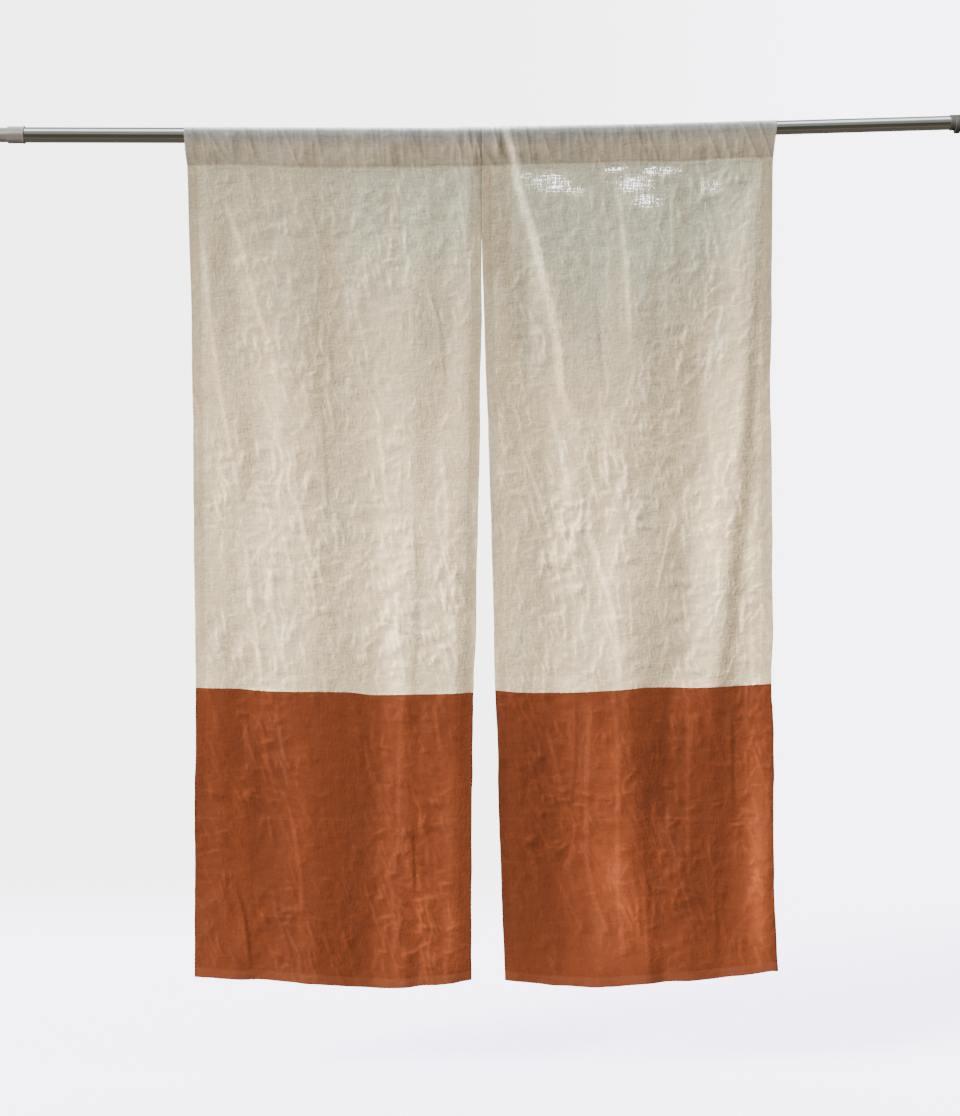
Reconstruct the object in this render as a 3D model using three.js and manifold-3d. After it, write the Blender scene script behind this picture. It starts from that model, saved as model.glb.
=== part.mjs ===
// Noren curtain on a tension rod
//
// Two linen panels hang side by side from one telescopic rod that spans a doorway.
// Each panel is an upper cloth with a rod pocket along its top and a lower cloth sewn to it.
// The panels meet along the top of the slit and part below it.
//
// Millimetres, +Z up. The front of the cloth faces -Y and the rod runs along X.
// The origin is on the rod's axis, half way along its span.
// A drop is a distance measured down from the origin. Forward is a distance towards -Y.

import * as THREE from 'three';
import { mergeVertices } from 'three/addons/utils/BufferGeometryUtils.js';
import Module from 'manifold-3d';

const manifoldLibrary = await Module();
manifoldLibrary.setup();

// Driving dimensions of the rod

const SPAN = 1430;
const OUTER_TUBE_RADIUS = 11.1;
const INNER_TUBE_RADIUS = 10.2;
const TUBE_WALL = 0.6;
const OUTER_TUBE_LEFT_END = -677;
const OUTER_TUBE_MOUTH = -12;
const TUBE_OVERLAP = 60;
const INNER_TUBE_RIGHT_END = 699;
const LEFT_SLOPE = -0.0025;
const RIGHT_SLOPE = 0.0286;
const BEND_START = -10;
const BEND_END = 24;
const ROUND_SIDES = 24;

// Driving dimensions of the end fittings

const FIT_GAP = 0.3;
const MERGE_DISTANCE = 0.0001;
const CHAMFER = 0.7;
const COLLAR = { left: -681, right: -656.5, radius: 12.25, rimWidth: 2.5, rimRadius: 12.9 };
const NECK_RADIUS = 10.6;
const CAP = { left: 678, right: 709, radius: 11.35, socketDepth: 21.3 };
const FLANGE = { left: 684.5, right: 692, radius: 13.35, lowered: 2.3 };
const PAD = { thickness: 6, radius: 15, edge: 1.2 };

// Driving dimensions of the cloth

const CLOTH_THICKNESS = 1.2;
const HEM_THICKNESS = 2.2;
const STITCHED_THICKNESS = 2.6;
const SIDE_HEM = 15.6;
const BOTTOM_HEM = 14;
const HEM_STEP = 1.5;
const SEAM_GAP = 0.3;
const JOIN_X = 2.4;
const JOIN_GAP = 0.3;
const LEFT_OF_JOIN = JOIN_X - JOIN_GAP / 2;
const RIGHT_OF_JOIN = JOIN_X + JOIN_GAP / 2;
const POCKET_RADIUS = 12.05;
const POCKET_WRAP = THREE.MathUtils.degToRad(106);
const POCKET_ARC_STEPS = 10;
const POCKET_FULLNESS = 0.8;
const POCKET_CREASE = 2.6;
const COLUMNS = 22;
const UPPER_ROWS = 15;
const LOWER_ROWS = 8;

// Height of the cloth's inner face over the rod's axis, which grows where the pocket is bunched

const CROWN = [
  { x: -430, height: 11.8 },
  { x: -55, height: 12 },
  { x: -29, height: 13.2 },
  { x: 6, height: 14.4 },
  { x: 75, height: 13.3 },
  { x: 144, height: 12.7 },
  { x: 196, height: 12.1 },
  { x: 248, height: 11.5 },
  { x: 300, height: 11.1 },
  { x: 405, height: 11.1 },
  { x: 430, height: 12.2 },
];

// Drops at which the folds are described, from the pocket's stitching to the bottom hem

const FOLD_DROPS = [45, 250, 450, 650, 850, 1050, 1220];

const LEFT_PANEL = {
  name: 'left',

  // The side edges at a few drops
  outline: [
    { drop: -12, left: -426.2, right: LEFT_OF_JOIN },
    { drop: 20, left: -425, right: LEFT_OF_JOIN },
    { drop: 48, left: -422.5, right: LEFT_OF_JOIN },
    { drop: 143, left: -420, right: LEFT_OF_JOIN },
    { drop: 265, left: -416.5, right: 1.7 },
    { drop: 375, left: -415.2, right: 0 },
    { drop: 480, left: -414, right: -1.5 },
    { drop: 590, left: -413, right: -3.6 },
    { drop: 700, left: -411.7, right: -6 },
    { drop: 785, left: -409.8, right: -8.7 },
    { drop: 870, left: -411, right: -10.5 },
    { drop: 1045, left: -412.4, right: -11.8 },
    { drop: 1230, left: -412.6, right: -13 },
  ],

  // How far down the pocket's stitching, the colour seam and the bottom edge lie across the width
  sags: [
    { x: -412, stitch: 44, seam: 796, bottom: 1214 },
    { x: -358, stitch: 42.5, seam: 797, bottom: 1216.5 },
    { x: -300, stitch: 45, seam: 801, bottom: 1219 },
    { x: -235, stitch: 46, seam: 801.5, bottom: 1222.5 },
    { x: -193, stitch: 46, seam: 802.5, bottom: 1227 },
    { x: -150, stitch: 46, seam: 807, bottom: 1230.5 },
    { x: -108, stitch: 46, seam: 805.5, bottom: 1227.5 },
    { x: -55, stitch: 44.5, seam: 804.5, bottom: 1223 },
    { x: -12, stitch: 44, seam: 803, bottom: 1217.5 },
  ],

  // Ridges and valleys from left to right, each followed down the fold drops
  leftEdge: [0, 0, 1, 1, 0, -3, -4],
  folds: [
    { name: 'side ridge', x: [-395, -380, -351, -372, -375, -371, -356],
      forward: [1, 3, 4, 1, 3, 4, 5] },
    { name: 'side valley', x: [-367, -342, -320, -349, -341, -326, -315],
      forward: [0, -2, -1, -1, -4, -6, -6] },
    { name: 'broad ridge', x: [-273, -263, -250, -241, -257, -245, -234],
      forward: [1, 5, 8, 8, 9, 10, 10] },
    { name: 'broad valley', x: [-209, -188, -165, -153, -146, -153, -157],
      forward: [-1, -5, -7, -7, -9, -9, -9] },
    { name: 'inner ridge', x: [-98, -97, -98, -101, -103, -105, -107],
      forward: [1, 4, 5, 7, 8, 8, 9] },
    { name: 'inner dip', x: [-51, -43, -64, -82, -86, -88, -88],
      forward: [0, -2, 0, 3, 5, 5, 5] },
    { name: 'slit ridge', x: [-20, -20, -28, -37, -37, -41, -43],
      forward: [0, 0, 3, 7, 9, 9, 9] },
  ],
  rightEdge: [0, 0, 0, 1, 1, 0, -1],
};

const RIGHT_PANEL = {
  name: 'right',
  outline: [
    { drop: -12, left: RIGHT_OF_JOIN, right: 427.4 },
    { drop: 20, left: RIGHT_OF_JOIN, right: 424 },
    { drop: 48, left: RIGHT_OF_JOIN, right: 422.5 },
    { drop: 143, left: RIGHT_OF_JOIN, right: 421.8 },
    { drop: 265, left: 5.8, right: 420.2 },
    { drop: 375, left: 9.4, right: 418.8 },
    { drop: 480, left: 13, right: 420.4 },
    { drop: 590, left: 16.6, right: 421.8 },
    { drop: 700, left: 19.2, right: 421.8 },
    { drop: 785, left: 21.6, right: 420.4 },
    { drop: 870, left: 24.5, right: 423.7 },
    { drop: 1045, left: 28.9, right: 423.8 },
    { drop: 1230, left: 36.5, right: 430 },
  ],
  sags: [
    { x: 26, stitch: 43.5, seam: 800, bottom: 1216 },
    { x: 75, stitch: 43.5, seam: 803.5, bottom: 1222.5 },
    { x: 115, stitch: 43.5, seam: 803.5, bottom: 1227 },
    { x: 162, stitch: 44, seam: 801.5, bottom: 1228 },
    { x: 196, stitch: 43, seam: 799.5, bottom: 1226 },
    { x: 245, stitch: 44, seam: 795.5, bottom: 1222 },
    { x: 303, stitch: 45, seam: 796, bottom: 1219.5 },
    { x: 361, stitch: 42.5, seam: 794, bottom: 1214.5 },
    { x: 421, stitch: 43, seam: 790, bottom: 1204 },
  ],
  leftEdge: [0, 0, 2, 5, 5, 5, 4],
  folds: [
    { name: 'slit valley', x: [40, 59, 84, 100, 113, 115, 115],
      forward: [0, -3, -5, -6, -7, -6, -5] },
    { name: 'corner ridge', x: [79, 115, 144, 151, 172, 173, 180],
      forward: [1, 5, 4, 4, 4, 4, 4] },
    { name: 'shallow dip', x: [180, 178, 172, 174, 185, 186, 192],
      forward: [-1, 0, 3, 3, 4, 4, 4] },
    { name: 'broad ridge', x: [231, 232, 225, 214, 218, 222, 240],
      forward: [1, 4, 5, 8, 9, 10, 10] },
    { name: 'broad valley', x: [303, 326, 307, 293, 274, 266, 271],
      forward: [-1, -6, -7, -7, -8, -7, -4] },
    { name: 'outer ridge', x: [398, 387, 372, 352, 329, 309, 300],
      forward: [1, 7, 8, 7, 3, 0, -2] },
    { name: 'outer valley', x: [412, 407, 398, 380, 371, 361, 346],
      forward: [0, 1, -1, -3, -8, -9, -8] },
  ],
  rightEdge: [0, 0, 2, 4, 3, 5, 6],
};

// Curves through tables, which never swing past the values that they join

function curveThrough(positions, values) {
  const widths = positions.slice(1).map((at, i) => at - positions[i]);
  const slopes = widths.map((width, i) => (values[i + 1] - values[i]) / width);
  const tangents = positions.map((at, i) => {
    const before = slopes[i - 1] ?? slopes[i];
    const after = slopes[i] ?? slopes[i - 1];
    return before * after > 0 ? 2 * before * after / (before + after) : 0;
  });
  return (at) => {
    const inside = THREE.MathUtils.clamp(at, positions[0], positions[positions.length - 1]);
    const above = positions.findIndex((position) => position > inside);
    const i = above < 0 ? widths.length - 1 : above - 1;
    const t = (inside - positions[i]) / widths[i];
    const rise = values[i + 1] - values[i];
    const start = tangents[i] * widths[i];
    const end = tangents[i + 1] * widths[i];
    return values[i] + t * (start + t * (3 * rise - 2 * start - end + t * (start + end - 2 * rise)));
  };
}

function curveFromTable(rows, position, value) {
  return curveThrough(rows.map((row) => row[position]), rows.map((row) => row[value]));
}

const crownHeight = curveFromTable(CROWN, 'x', 'height');

// The rod falls a little to its joint, then bends and climbs to the right

function rodHeight(x) {
  if (x <= BEND_START) {
    return LEFT_SLOPE * x;
  }
  const along = Math.min(x, BEND_END) - BEND_START;
  const gained = (RIGHT_SLOPE - LEFT_SLOPE) * along * along / (2 * (BEND_END - BEND_START));
  const beyond = RIGHT_SLOPE * Math.max(x - BEND_END, 0);
  return LEFT_SLOPE * (BEND_START + along) + gained + beyond;
}

// Depth of the folds at a place on a panel

function makeFoldSurface(panel, leftEdgeAt, rightEdgeAt) {
  const lines = panel.folds.map((fold) => ({
    x: curveThrough(FOLD_DROPS, fold.x),
    forward: curveThrough(FOLD_DROPS, fold.forward),
  }));
  lines.unshift({ x: leftEdgeAt, forward: curveThrough(FOLD_DROPS, panel.leftEdge) });
  lines.push({ x: rightEdgeAt, forward: curveThrough(FOLD_DROPS, panel.rightEdge) });
  return (x, drop) => {
    const beyond = lines.findIndex((line) => line.x(drop) > x);
    const next = beyond < 0 ? lines.length - 1 : Math.max(beyond, 1);
    const from = lines[next - 1];
    const to = lines[next];
    const blend = THREE.MathUtils.smoothstep(x, from.x(drop), to.x(drop));
    return THREE.MathUtils.lerp(from.forward(drop), to.forward(drop), blend);
  };
}

// Every curve and surface that shapes one panel

function describePanel(panel) {
  const left = curveFromTable(panel.outline, 'drop', 'left');
  const right = curveFromTable(panel.outline, 'drop', 'right');
  return {
    left,
    right,
    stitch: curveFromTable(panel.sags, 'x', 'stitch'),
    seam: curveFromTable(panel.sags, 'x', 'seam'),
    bottom: curveFromTable(panel.sags, 'x', 'bottom'),
    forward: makeFoldSurface(panel, left, right),
  };
}

// Columns across a panel, with a step in thickness at the inner edge of each side hem

function columnPlaces() {
  const inset = SIDE_HEM + HEM_STEP;
  const places = [
    { share: 0, inset: 0, hem: true },
    { share: 0, inset: SIDE_HEM, hem: true },
  ];
  for (let i = 0; i <= COLUMNS; i += 1) {
    const share = i / COLUMNS;
    places.push({ share, inset: inset * (1 - 2 * share), hem: false });
  }
  places.push({ share: 1, inset: -SIDE_HEM, hem: true });
  places.push({ share: 1, inset: 0, hem: true });
  return places;
}

function acrossAt(shape, place, drop) {
  return THREE.MathUtils.lerp(shape.left(drop), shape.right(drop), place.share) + place.inset;
}

// Front and back points of the cloth at one place

function clothPoints(shape, place, drop, thickness) {
  const x = acrossAt(shape, place, drop);
  const front = -shape.forward(x, drop) - CLOTH_THICKNESS / 2;
  return {
    front: new THREE.Vector3(x, front, -drop),
    back: new THREE.Vector3(x, front + thickness, -drop),
  };
}

// The section of a rod pocket at one column: an arc over the rod and a flank down each side

function pocketPoints(shape, place, stitchDrop, frontFoot, backFoot) {
  const inner = [];
  const outer = [];
  const topX = acrossAt(shape, place, -POCKET_RADIUS);
  const centreZ = rodHeight(topX) + crownHeight(topX) - POCKET_RADIUS;
  const crease = new THREE.Vector3(
    frontFoot.x, (frontFoot.y + backFoot.y) / 2, -stitchDrop + POCKET_CREASE);
  const arcPoint = (angle, radius) => {
    const z = centreZ + radius * Math.cos(angle);
    return new THREE.Vector3(acrossAt(shape, place, -z), radius * Math.sin(angle), z);
  };
  const flankPoint = (angle, foot, radius, side) => {
    const point = arcPoint(angle, radius).lerp(foot, 0.5);
    point.y += side * POCKET_FULLNESS;
    return point;
  };
  outer.push(flankPoint(-POCKET_WRAP, frontFoot, POCKET_RADIUS + CLOTH_THICKNESS, -1));
  inner.push(flankPoint(-POCKET_WRAP, crease, POCKET_RADIUS, -1));
  for (let i = 0; i <= POCKET_ARC_STEPS; i += 1) {
    const angle = THREE.MathUtils.lerp(-POCKET_WRAP, POCKET_WRAP, i / POCKET_ARC_STEPS);
    outer.push(arcPoint(angle, POCKET_RADIUS + CLOTH_THICKNESS));
    inner.push(arcPoint(angle, POCKET_RADIUS));
  }
  outer.push(flankPoint(POCKET_WRAP, backFoot, POCKET_RADIUS + CLOTH_THICKNESS, 1));
  inner.push(flankPoint(POCKET_WRAP, crease, POCKET_RADIUS, 1));
  return { outer, inner, crease };
}

// Joins matching loops of points on neighbouring columns, and closes the cut ends

class SheetBuilder {
  constructor() {
    this.points = [];
    this.faces = [];
  }

  addLoop(loop) {
    const first = this.points.length;
    this.points.push(...loop);
    return loop.map((point, i) => first + i);
  }

  addQuad(a, b, c, d) {
    this.faces.push([a, b, c], [a, c, d]);
  }

  joinLoops(loop, nextLoop, inward = false) {
    loop.forEach((a, i) => {
      const following = (i + 1) % loop.length;
      const corners = [a, nextLoop[i], nextLoop[following], loop[following]];
      this.addQuad(...(inward ? corners.reverse() : corners));
    });
  }

  addEnd(quads, triangles, flip) {
    quads.forEach((quad) => this.addQuad(...(flip ? [...quad].reverse() : quad)));
    triangles.forEach((face) => this.faces.push(flip ? [...face].reverse() : face));
  }

  geometry() {
    const geometry = new THREE.BufferGeometry();
    geometry.setFromPoints(this.points);
    geometry.setIndex(this.faces.flat());
    geometry.computeVertexNormals();
    return geometry;
  }
}

// Upper cloth: the rod pocket and the single cloth down to the colour seam

function upperPanelGeometry(shape) {
  const sheet = new SheetBuilder();
  const columns = columnPlaces().map((place) => {
    const topX = acrossAt(shape, place, 0);
    const stitchDrop = shape.stitch(topX) - rodHeight(topX);
    const seamDrop = shape.seam(acrossAt(shape, place, shape.seam(topX)));
    const single = place.hem ? HEM_THICKNESS : CLOTH_THICKNESS;
    const rows = [clothPoints(shape, place, stitchDrop, STITCHED_THICKNESS)];
    for (let i = 0; i <= UPPER_ROWS; i += 1) {
      const drop = THREE.MathUtils.lerp(stitchDrop + HEM_STEP, seamDrop, i / UPPER_ROWS);
      rows.push(clothPoints(shape, place, drop, single));
    }
    const pocket = pocketPoints(shape, place, stitchDrop, rows[0].front, rows[0].back);
    const front = rows.map((row) => row.front).reverse();
    const back = rows.map((row) => row.back);
    return {
      outer: sheet.addLoop([...front, ...pocket.outer, ...back]),
      inner: sheet.addLoop([pocket.crease, ...pocket.inner]),
      depth: rows.length,
    };
  });
  columns.slice(1).forEach((column, i) => {
    sheet.joinLoops(columns[i].outer, column.outer);
    sheet.joinLoops(columns[i].inner, column.inner, true);
  });
  [columns[0], columns[columns.length - 1]].forEach((column, end) => {
    const { outer, inner, depth } = column;
    const last = outer.length - 1;
    const quads = [];
    for (let i = 0; i < depth - 1; i += 1) {
      quads.push([outer[i], outer[i + 1], outer[last - i - 1], outer[last - i]]);
    }
    for (let i = 0; i < inner.length; i += 1) {
      const next = inner[(i + 1) % inner.length];
      quads.push([outer[depth - 1 + i], outer[depth + i], next, inner[i]]);
    }
    const foot = [outer[depth - 1], inner[0], outer[last - depth + 1]];
    sheet.addEnd(quads, [foot], end === 1);
  });
  return sheet.geometry();
}

// Lower cloth: from the colour seam to the bottom hem

function lowerPanelGeometry(shape) {
  const sheet = new SheetBuilder();
  const columns = columnPlaces().map((place) => {
    const seamX = acrossAt(shape, place, shape.seam(acrossAt(shape, place, 0)));
    const top = shape.seam(seamX) + SEAM_GAP;
    const bottom = shape.bottom(acrossAt(shape, place, shape.bottom(seamX)));
    const single = place.hem ? HEM_THICKNESS : CLOTH_THICKNESS;
    const rows = [];
    for (let i = 0; i <= LOWER_ROWS; i += 1) {
      const drop = THREE.MathUtils.lerp(top, bottom - BOTTOM_HEM - HEM_STEP, i / LOWER_ROWS);
      rows.push(clothPoints(shape, place, drop, single));
    }
    rows.push(clothPoints(shape, place, bottom - BOTTOM_HEM, HEM_THICKNESS));
    rows.push(clothPoints(shape, place, bottom, HEM_THICKNESS));
    const front = rows.map((row) => row.front).reverse();
    const back = rows.map((row) => row.back);
    return sheet.addLoop([...front, ...back]);
  });
  columns.slice(1).forEach((loop, i) => sheet.joinLoops(columns[i], loop));
  [columns[0], columns[columns.length - 1]].forEach((loop, end) => {
    const quads = [];
    for (let i = 0; i < loop.length / 2 - 1; i += 1) {
      const last = loop.length - 1 - i;
      quads.push([loop[i], loop[i + 1], loop[last - 1], loop[last]]);
    }
    sheet.addEnd(quads, [], end === 1);
  });
  return sheet.geometry();
}

// Rod pieces are turned about X, then lifted to follow the rod's own line

function turnedGeometry(profile) {
  const points = profile.map(([along, radius]) => new THREE.Vector2(radius, along));
  const geometry = new THREE.LatheGeometry(points, ROUND_SIDES);
  geometry.rotateZ(-Math.PI / 2);
  return geometry;
}

function followRod(geometry) {
  const position = geometry.getAttribute('position');
  for (let i = 0; i < position.count; i += 1) {
    position.setZ(i, position.getZ(i) + rodHeight(position.getX(i)));
  }
  geometry.computeVertexNormals();
  return geometry;
}

function pipeGeometry(stations, radius) {
  const outside = stations.map((along) => [along, radius]);
  const inside = [...stations].reverse().map((along) => [along, radius - TUBE_WALL]);
  return followRod(turnedGeometry([...outside, ...inside, outside[0]]));
}

function outerTubeGeometry() {
  return pipeGeometry([OUTER_TUBE_LEFT_END, OUTER_TUBE_MOUTH], OUTER_TUBE_RADIUS);
}

function innerTubeGeometry() {
  const middle = (BEND_START + BEND_END) / 2;
  const stations = [
    OUTER_TUBE_MOUTH - TUBE_OVERLAP,
    BEND_START,
    (BEND_START + middle) / 2,
    middle,
    (middle + BEND_END) / 2,
    BEND_END,
    INNER_TUBE_RIGHT_END,
  ];
  return pipeGeometry(stations, INNER_TUBE_RADIUS);
}

// Left fitting: a collar over the tube's end and a neck that carries the pad

function leftCollarGeometry() {
  const bore = OUTER_TUBE_RADIUS + FIT_GAP;
  const neckEnd = -SPAN / 2 + PAD.thickness + FIT_GAP;
  const socketEnd = OUTER_TUBE_LEFT_END - FIT_GAP;
  const rimStart = COLLAR.right - COLLAR.rimWidth;
  return followRod(turnedGeometry([
    [neckEnd, 0],
    [neckEnd, NECK_RADIUS - CHAMFER],
    [neckEnd + CHAMFER, NECK_RADIUS],
    [COLLAR.left, NECK_RADIUS],
    [COLLAR.left, COLLAR.radius - CHAMFER],
    [COLLAR.left + CHAMFER, COLLAR.radius],
    [rimStart, COLLAR.radius],
    [rimStart + CHAMFER, COLLAR.rimRadius],
    [COLLAR.right - CHAMFER, COLLAR.rimRadius],
    [COLLAR.right, COLLAR.rimRadius - CHAMFER],
    [COLLAR.right, bore],
    [socketEnd, bore],
    [socketEnd, 0],
  ]));
}

function discGeometry(left, right, radius, edge) {
  return turnedGeometry([
    [left, 0],
    [left, radius - edge],
    [left + edge, radius],
    [right - edge, radius],
    [right, radius - edge],
    [right, 0],
  ]);
}

function leftPadGeometry() {
  return followRod(discGeometry(-SPAN / 2, -SPAN / 2 + PAD.thickness, PAD.radius, PAD.edge));
}

function rightPadGeometry() {
  return followRod(discGeometry(SPAN / 2 - PAD.thickness, SPAN / 2, PAD.radius, PAD.edge));
}

// Right fitting: a cap over the tube's end, with a flange that hangs lower than the cap

function toManifold(geometry) {
  const bare = geometry.clone();
  bare.deleteAttribute('normal');
  bare.deleteAttribute('uv');
  const merged = mergeVertices(bare, MERGE_DISTANCE);
  return new manifoldLibrary.Manifold(new manifoldLibrary.Mesh({
    numProp: 3,
    vertProperties: new Float32Array(merged.getAttribute('position').array),
    triVerts: new Uint32Array(merged.getIndex().array),
  }));
}

function fromManifold(solid) {
  const mesh = solid.getMesh();
  const geometry = new THREE.BufferGeometry();
  geometry.setAttribute('position', new THREE.BufferAttribute(mesh.vertProperties, 3));
  geometry.setIndex(new THREE.BufferAttribute(mesh.triVerts, 1));
  return geometry;
}

function rightCapGeometry() {
  const end = SPAN / 2 - PAD.thickness - FIT_GAP;
  const bore = INNER_TUBE_RADIUS + FIT_GAP;
  const cap = discGeometry(CAP.left, end, CAP.radius, CHAMFER);
  const flange = discGeometry(FLANGE.left, FLANGE.right, FLANGE.radius, CHAMFER);
  flange.translate(0, 0, -FLANGE.lowered);
  const socket = turnedGeometry([
    [CAP.left - 1, 0],
    [CAP.left - 1, bore],
    [CAP.left + CAP.socketDepth, bore],
    [CAP.left + CAP.socketDepth, 0],
  ]);
  const solid = toManifold(cap).add(toManifold(flange)).subtract(toManifold(socket));
  return followRod(fromManifold(solid));
}

// Materials

const naturalLinen = new THREE.MeshStandardMaterial({ color: 0xcdc3b1, roughness: 0.95, metalness: 0 });
const rustLinen = new THREE.MeshStandardMaterial({ color: 0xa0522d, roughness: 0.95, metalness: 0 });
const brushedSteel = new THREE.MeshStandardMaterial({ color: 0x8d8c88, roughness: 0.32, metalness: 1 });
const greyPlastic = new THREE.MeshStandardMaterial({ color: 0xa09b90, roughness: 0.55, metalness: 0 });
const darkRubber = new THREE.MeshStandardMaterial({ color: 0x575753, roughness: 0.7, metalness: 0 });

// The assembled curtain

const noren = new THREE.Group();

function addPiece(name, geometry, material) {
  const piece = new THREE.Mesh(geometry, material);
  piece.name = name;
  noren.add(piece);
}

addPiece('rod_outer_tube', outerTubeGeometry(), brushedSteel);
addPiece('rod_inner_tube', innerTubeGeometry(), brushedSteel);
addPiece('left_collar', leftCollarGeometry(), greyPlastic);
addPiece('right_cap', rightCapGeometry(), darkRubber);
addPiece('left_foot_pad', leftPadGeometry(), darkRubber);
addPiece('right_foot_pad', rightPadGeometry(), darkRubber);

[LEFT_PANEL, RIGHT_PANEL].forEach((panel) => {
  const shape = describePanel(panel);
  addPiece(`${panel.name}_upper_panel`, upperPanelGeometry(shape), naturalLinen);
  addPiece(`${panel.name}_lower_panel`, lowerPanelGeometry(shape), rustLinen);
});

export default noren;
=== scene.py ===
# %% [markdown]
# # A noren curtain on a tension rod
# A noren is a split curtain that hangs in a doorway from a thin rod. This one has two panels.
# Each is natural linen above and rust linen below, with a rod pocket along the top.
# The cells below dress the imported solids: first the rod, then the cloth, then its finish and light.

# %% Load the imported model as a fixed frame
import math

import bpy
import numpy as np
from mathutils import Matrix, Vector


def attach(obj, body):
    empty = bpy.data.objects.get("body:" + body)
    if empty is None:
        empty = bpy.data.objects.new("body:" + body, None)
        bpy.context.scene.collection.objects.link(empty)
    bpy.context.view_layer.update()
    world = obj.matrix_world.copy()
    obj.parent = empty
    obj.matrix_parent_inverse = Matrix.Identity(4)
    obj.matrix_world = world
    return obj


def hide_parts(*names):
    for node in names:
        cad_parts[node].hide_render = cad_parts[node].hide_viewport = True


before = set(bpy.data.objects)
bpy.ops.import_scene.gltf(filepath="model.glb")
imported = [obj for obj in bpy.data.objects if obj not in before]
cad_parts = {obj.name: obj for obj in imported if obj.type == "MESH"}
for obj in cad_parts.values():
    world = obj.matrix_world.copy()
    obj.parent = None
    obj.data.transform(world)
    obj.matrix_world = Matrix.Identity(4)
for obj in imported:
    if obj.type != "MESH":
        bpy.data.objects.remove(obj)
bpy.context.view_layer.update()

bpy.ops.object.select_all(action="DESELECT")
MM = 0.001
print("CAD nodes:", ", ".join(sorted(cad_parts)))

# %% [markdown]
# ## Curves through a few measured places
# A hanging cloth is described by tables: how far down a seam lies, where a fold runs.
# A straight line between two rows would show as a kink and a plain spline may swing past its rows.
# A monotone cubic does neither, so these tables are read through this one helper. A second helper
# eases from 0 to 1 between two places.

# %% A smooth curve through a table
def curve_through(places, values):
    places, values = np.array(places, float), np.array(values, float)
    widths = np.diff(places)
    slopes = np.diff(values) / widths
    tangents = np.zeros_like(values)
    tangents[0], tangents[-1] = slopes[0], slopes[-1]
    before, after = slopes[:-1], slopes[1:]
    turning = before * after <= 0
    total = np.where(turning, 1.0, before + after)
    tangents[1:-1] = np.where(turning, 0.0, 2 * before * after / total)

    def curve(at):
        at = np.clip(at, places[0], places[-1])
        i = np.clip(np.searchsorted(places, at, side="right") - 1, 0, len(widths) - 1)
        t = (at - places[i]) / widths[i]
        rise = values[i + 1] - values[i]
        start, end = tangents[i] * widths[i], tangents[i + 1] * widths[i]
        return values[i] + t * (start + t * (3 * rise - 2 * start - end + t * (start + end - 2 * rise)))

    return curve


def smooth_step(value, low, high):
    t = np.clip((value - low) / (high - low), 0, 1)
    return t * t * (3 - 2 * t)


# %% [markdown]
# ## The line of the rod
# The rod is two steel tubes, one inside the other. The wider one falls a hair to the joint and the
# thinner one climbs away from it, because a loaded telescopic rod always gives a little there.
# All sizes below are in millimetres and in the same frame as the solids.

# %% Where the rod's axis runs
SPAN = 1430
OUTER_RADIUS = 11.1
INNER_RADIUS = 10.2
LEFT_SLOPE = -0.0025
RIGHT_SLOPE = 0.0286
BEND_START = -10
BEND_END = 24


def rod_height(x):
    x = np.asarray(x, float)
    along = np.clip(x, BEND_START, BEND_END) - BEND_START
    gained = (RIGHT_SLOPE - LEFT_SLOPE) * along * along / (2 * (BEND_END - BEND_START))
    bent = LEFT_SLOPE * (BEND_START + along) + gained + RIGHT_SLOPE * np.maximum(x - BEND_END, 0)
    return np.where(x <= BEND_START, LEFT_SLOPE * x, bent)


print("rod height at both feet, mm:", rod_height([-SPAN / 2, SPAN / 2]).round(2))

# %% [markdown]
# ## Turned pieces
# Tubes, collars and caps are round, so they could be spun from a profile or cut from cylinders.
# Here a disc is extruded and scaled from station to station along the rod, as a lathe would work:
# each station is a place along the rod and a radius, and every edge gets a small bevel at the end.

# %% Turn a piece
ROUND_SIDES = 72
SHARP_ANGLE = math.radians(40)


def turn(name, stations, bevel):
    bpy.ops.object.select_all(action="DESELECT")
    start, radius = stations[0]
    bpy.ops.mesh.primitive_circle_add(
        vertices=ROUND_SIDES, radius=radius * MM, fill_type="NGON",
        location=(start * MM, 0, 0), rotation=(0, math.pi / 2, 0))
    piece = bpy.context.object
    piece.name = name
    bpy.ops.object.transform_apply(location=True, rotation=True, scale=True)
    bpy.ops.object.mode_set(mode="EDIT")
    bpy.ops.mesh.select_all(action="SELECT")
    for place, wide in stations[1:]:
        bpy.ops.mesh.extrude_region_move(
            TRANSFORM_OT_translate={"value": ((place - start) * MM, 0, 0)})
        bpy.ops.transform.resize(
            value=(1, wide / radius, wide / radius), center_override=(place * MM, 0, 0))
        start, radius = place, wide
    bpy.ops.mesh.select_all(action="SELECT")
    bpy.ops.mesh.normals_make_consistent(inside=False)
    bpy.ops.object.mode_set(mode="OBJECT")
    if bevel:
        rounding = piece.modifiers.new("rounded edges", "BEVEL")
        rounding.width = bevel * MM
        rounding.segments = 3
        rounding.limit_method = "ANGLE"
        rounding.angle_limit = SHARP_ANGLE
        bpy.ops.object.modifier_apply(modifier=rounding.name)
    return piece


# %% [markdown]
# ## Along the rod's line
# A piece is turned on a straight axis and then moved to the rod's real line, point by point. A curve
# modifier could do this too, but it would also turn the sections, which a bend this slight doesn't.

# %% Lay a turned piece on the rod's line
SMOOTH_ANGLE = math.radians(32)


def select_only(piece):
    bpy.ops.object.select_all(action="DESELECT")
    piece.select_set(True)
    bpy.context.view_layer.objects.active = piece


def follow_rod(piece):
    for vertex in piece.data.vertices:
        vertex.co.z += float(rod_height(vertex.co.x / MM)) * MM
    select_only(piece)
    bpy.ops.object.shade_smooth_by_angle(angle=SMOOTH_ANGLE)
    print(piece.name, len(piece.data.polygons), "faces")
    return piece


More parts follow.
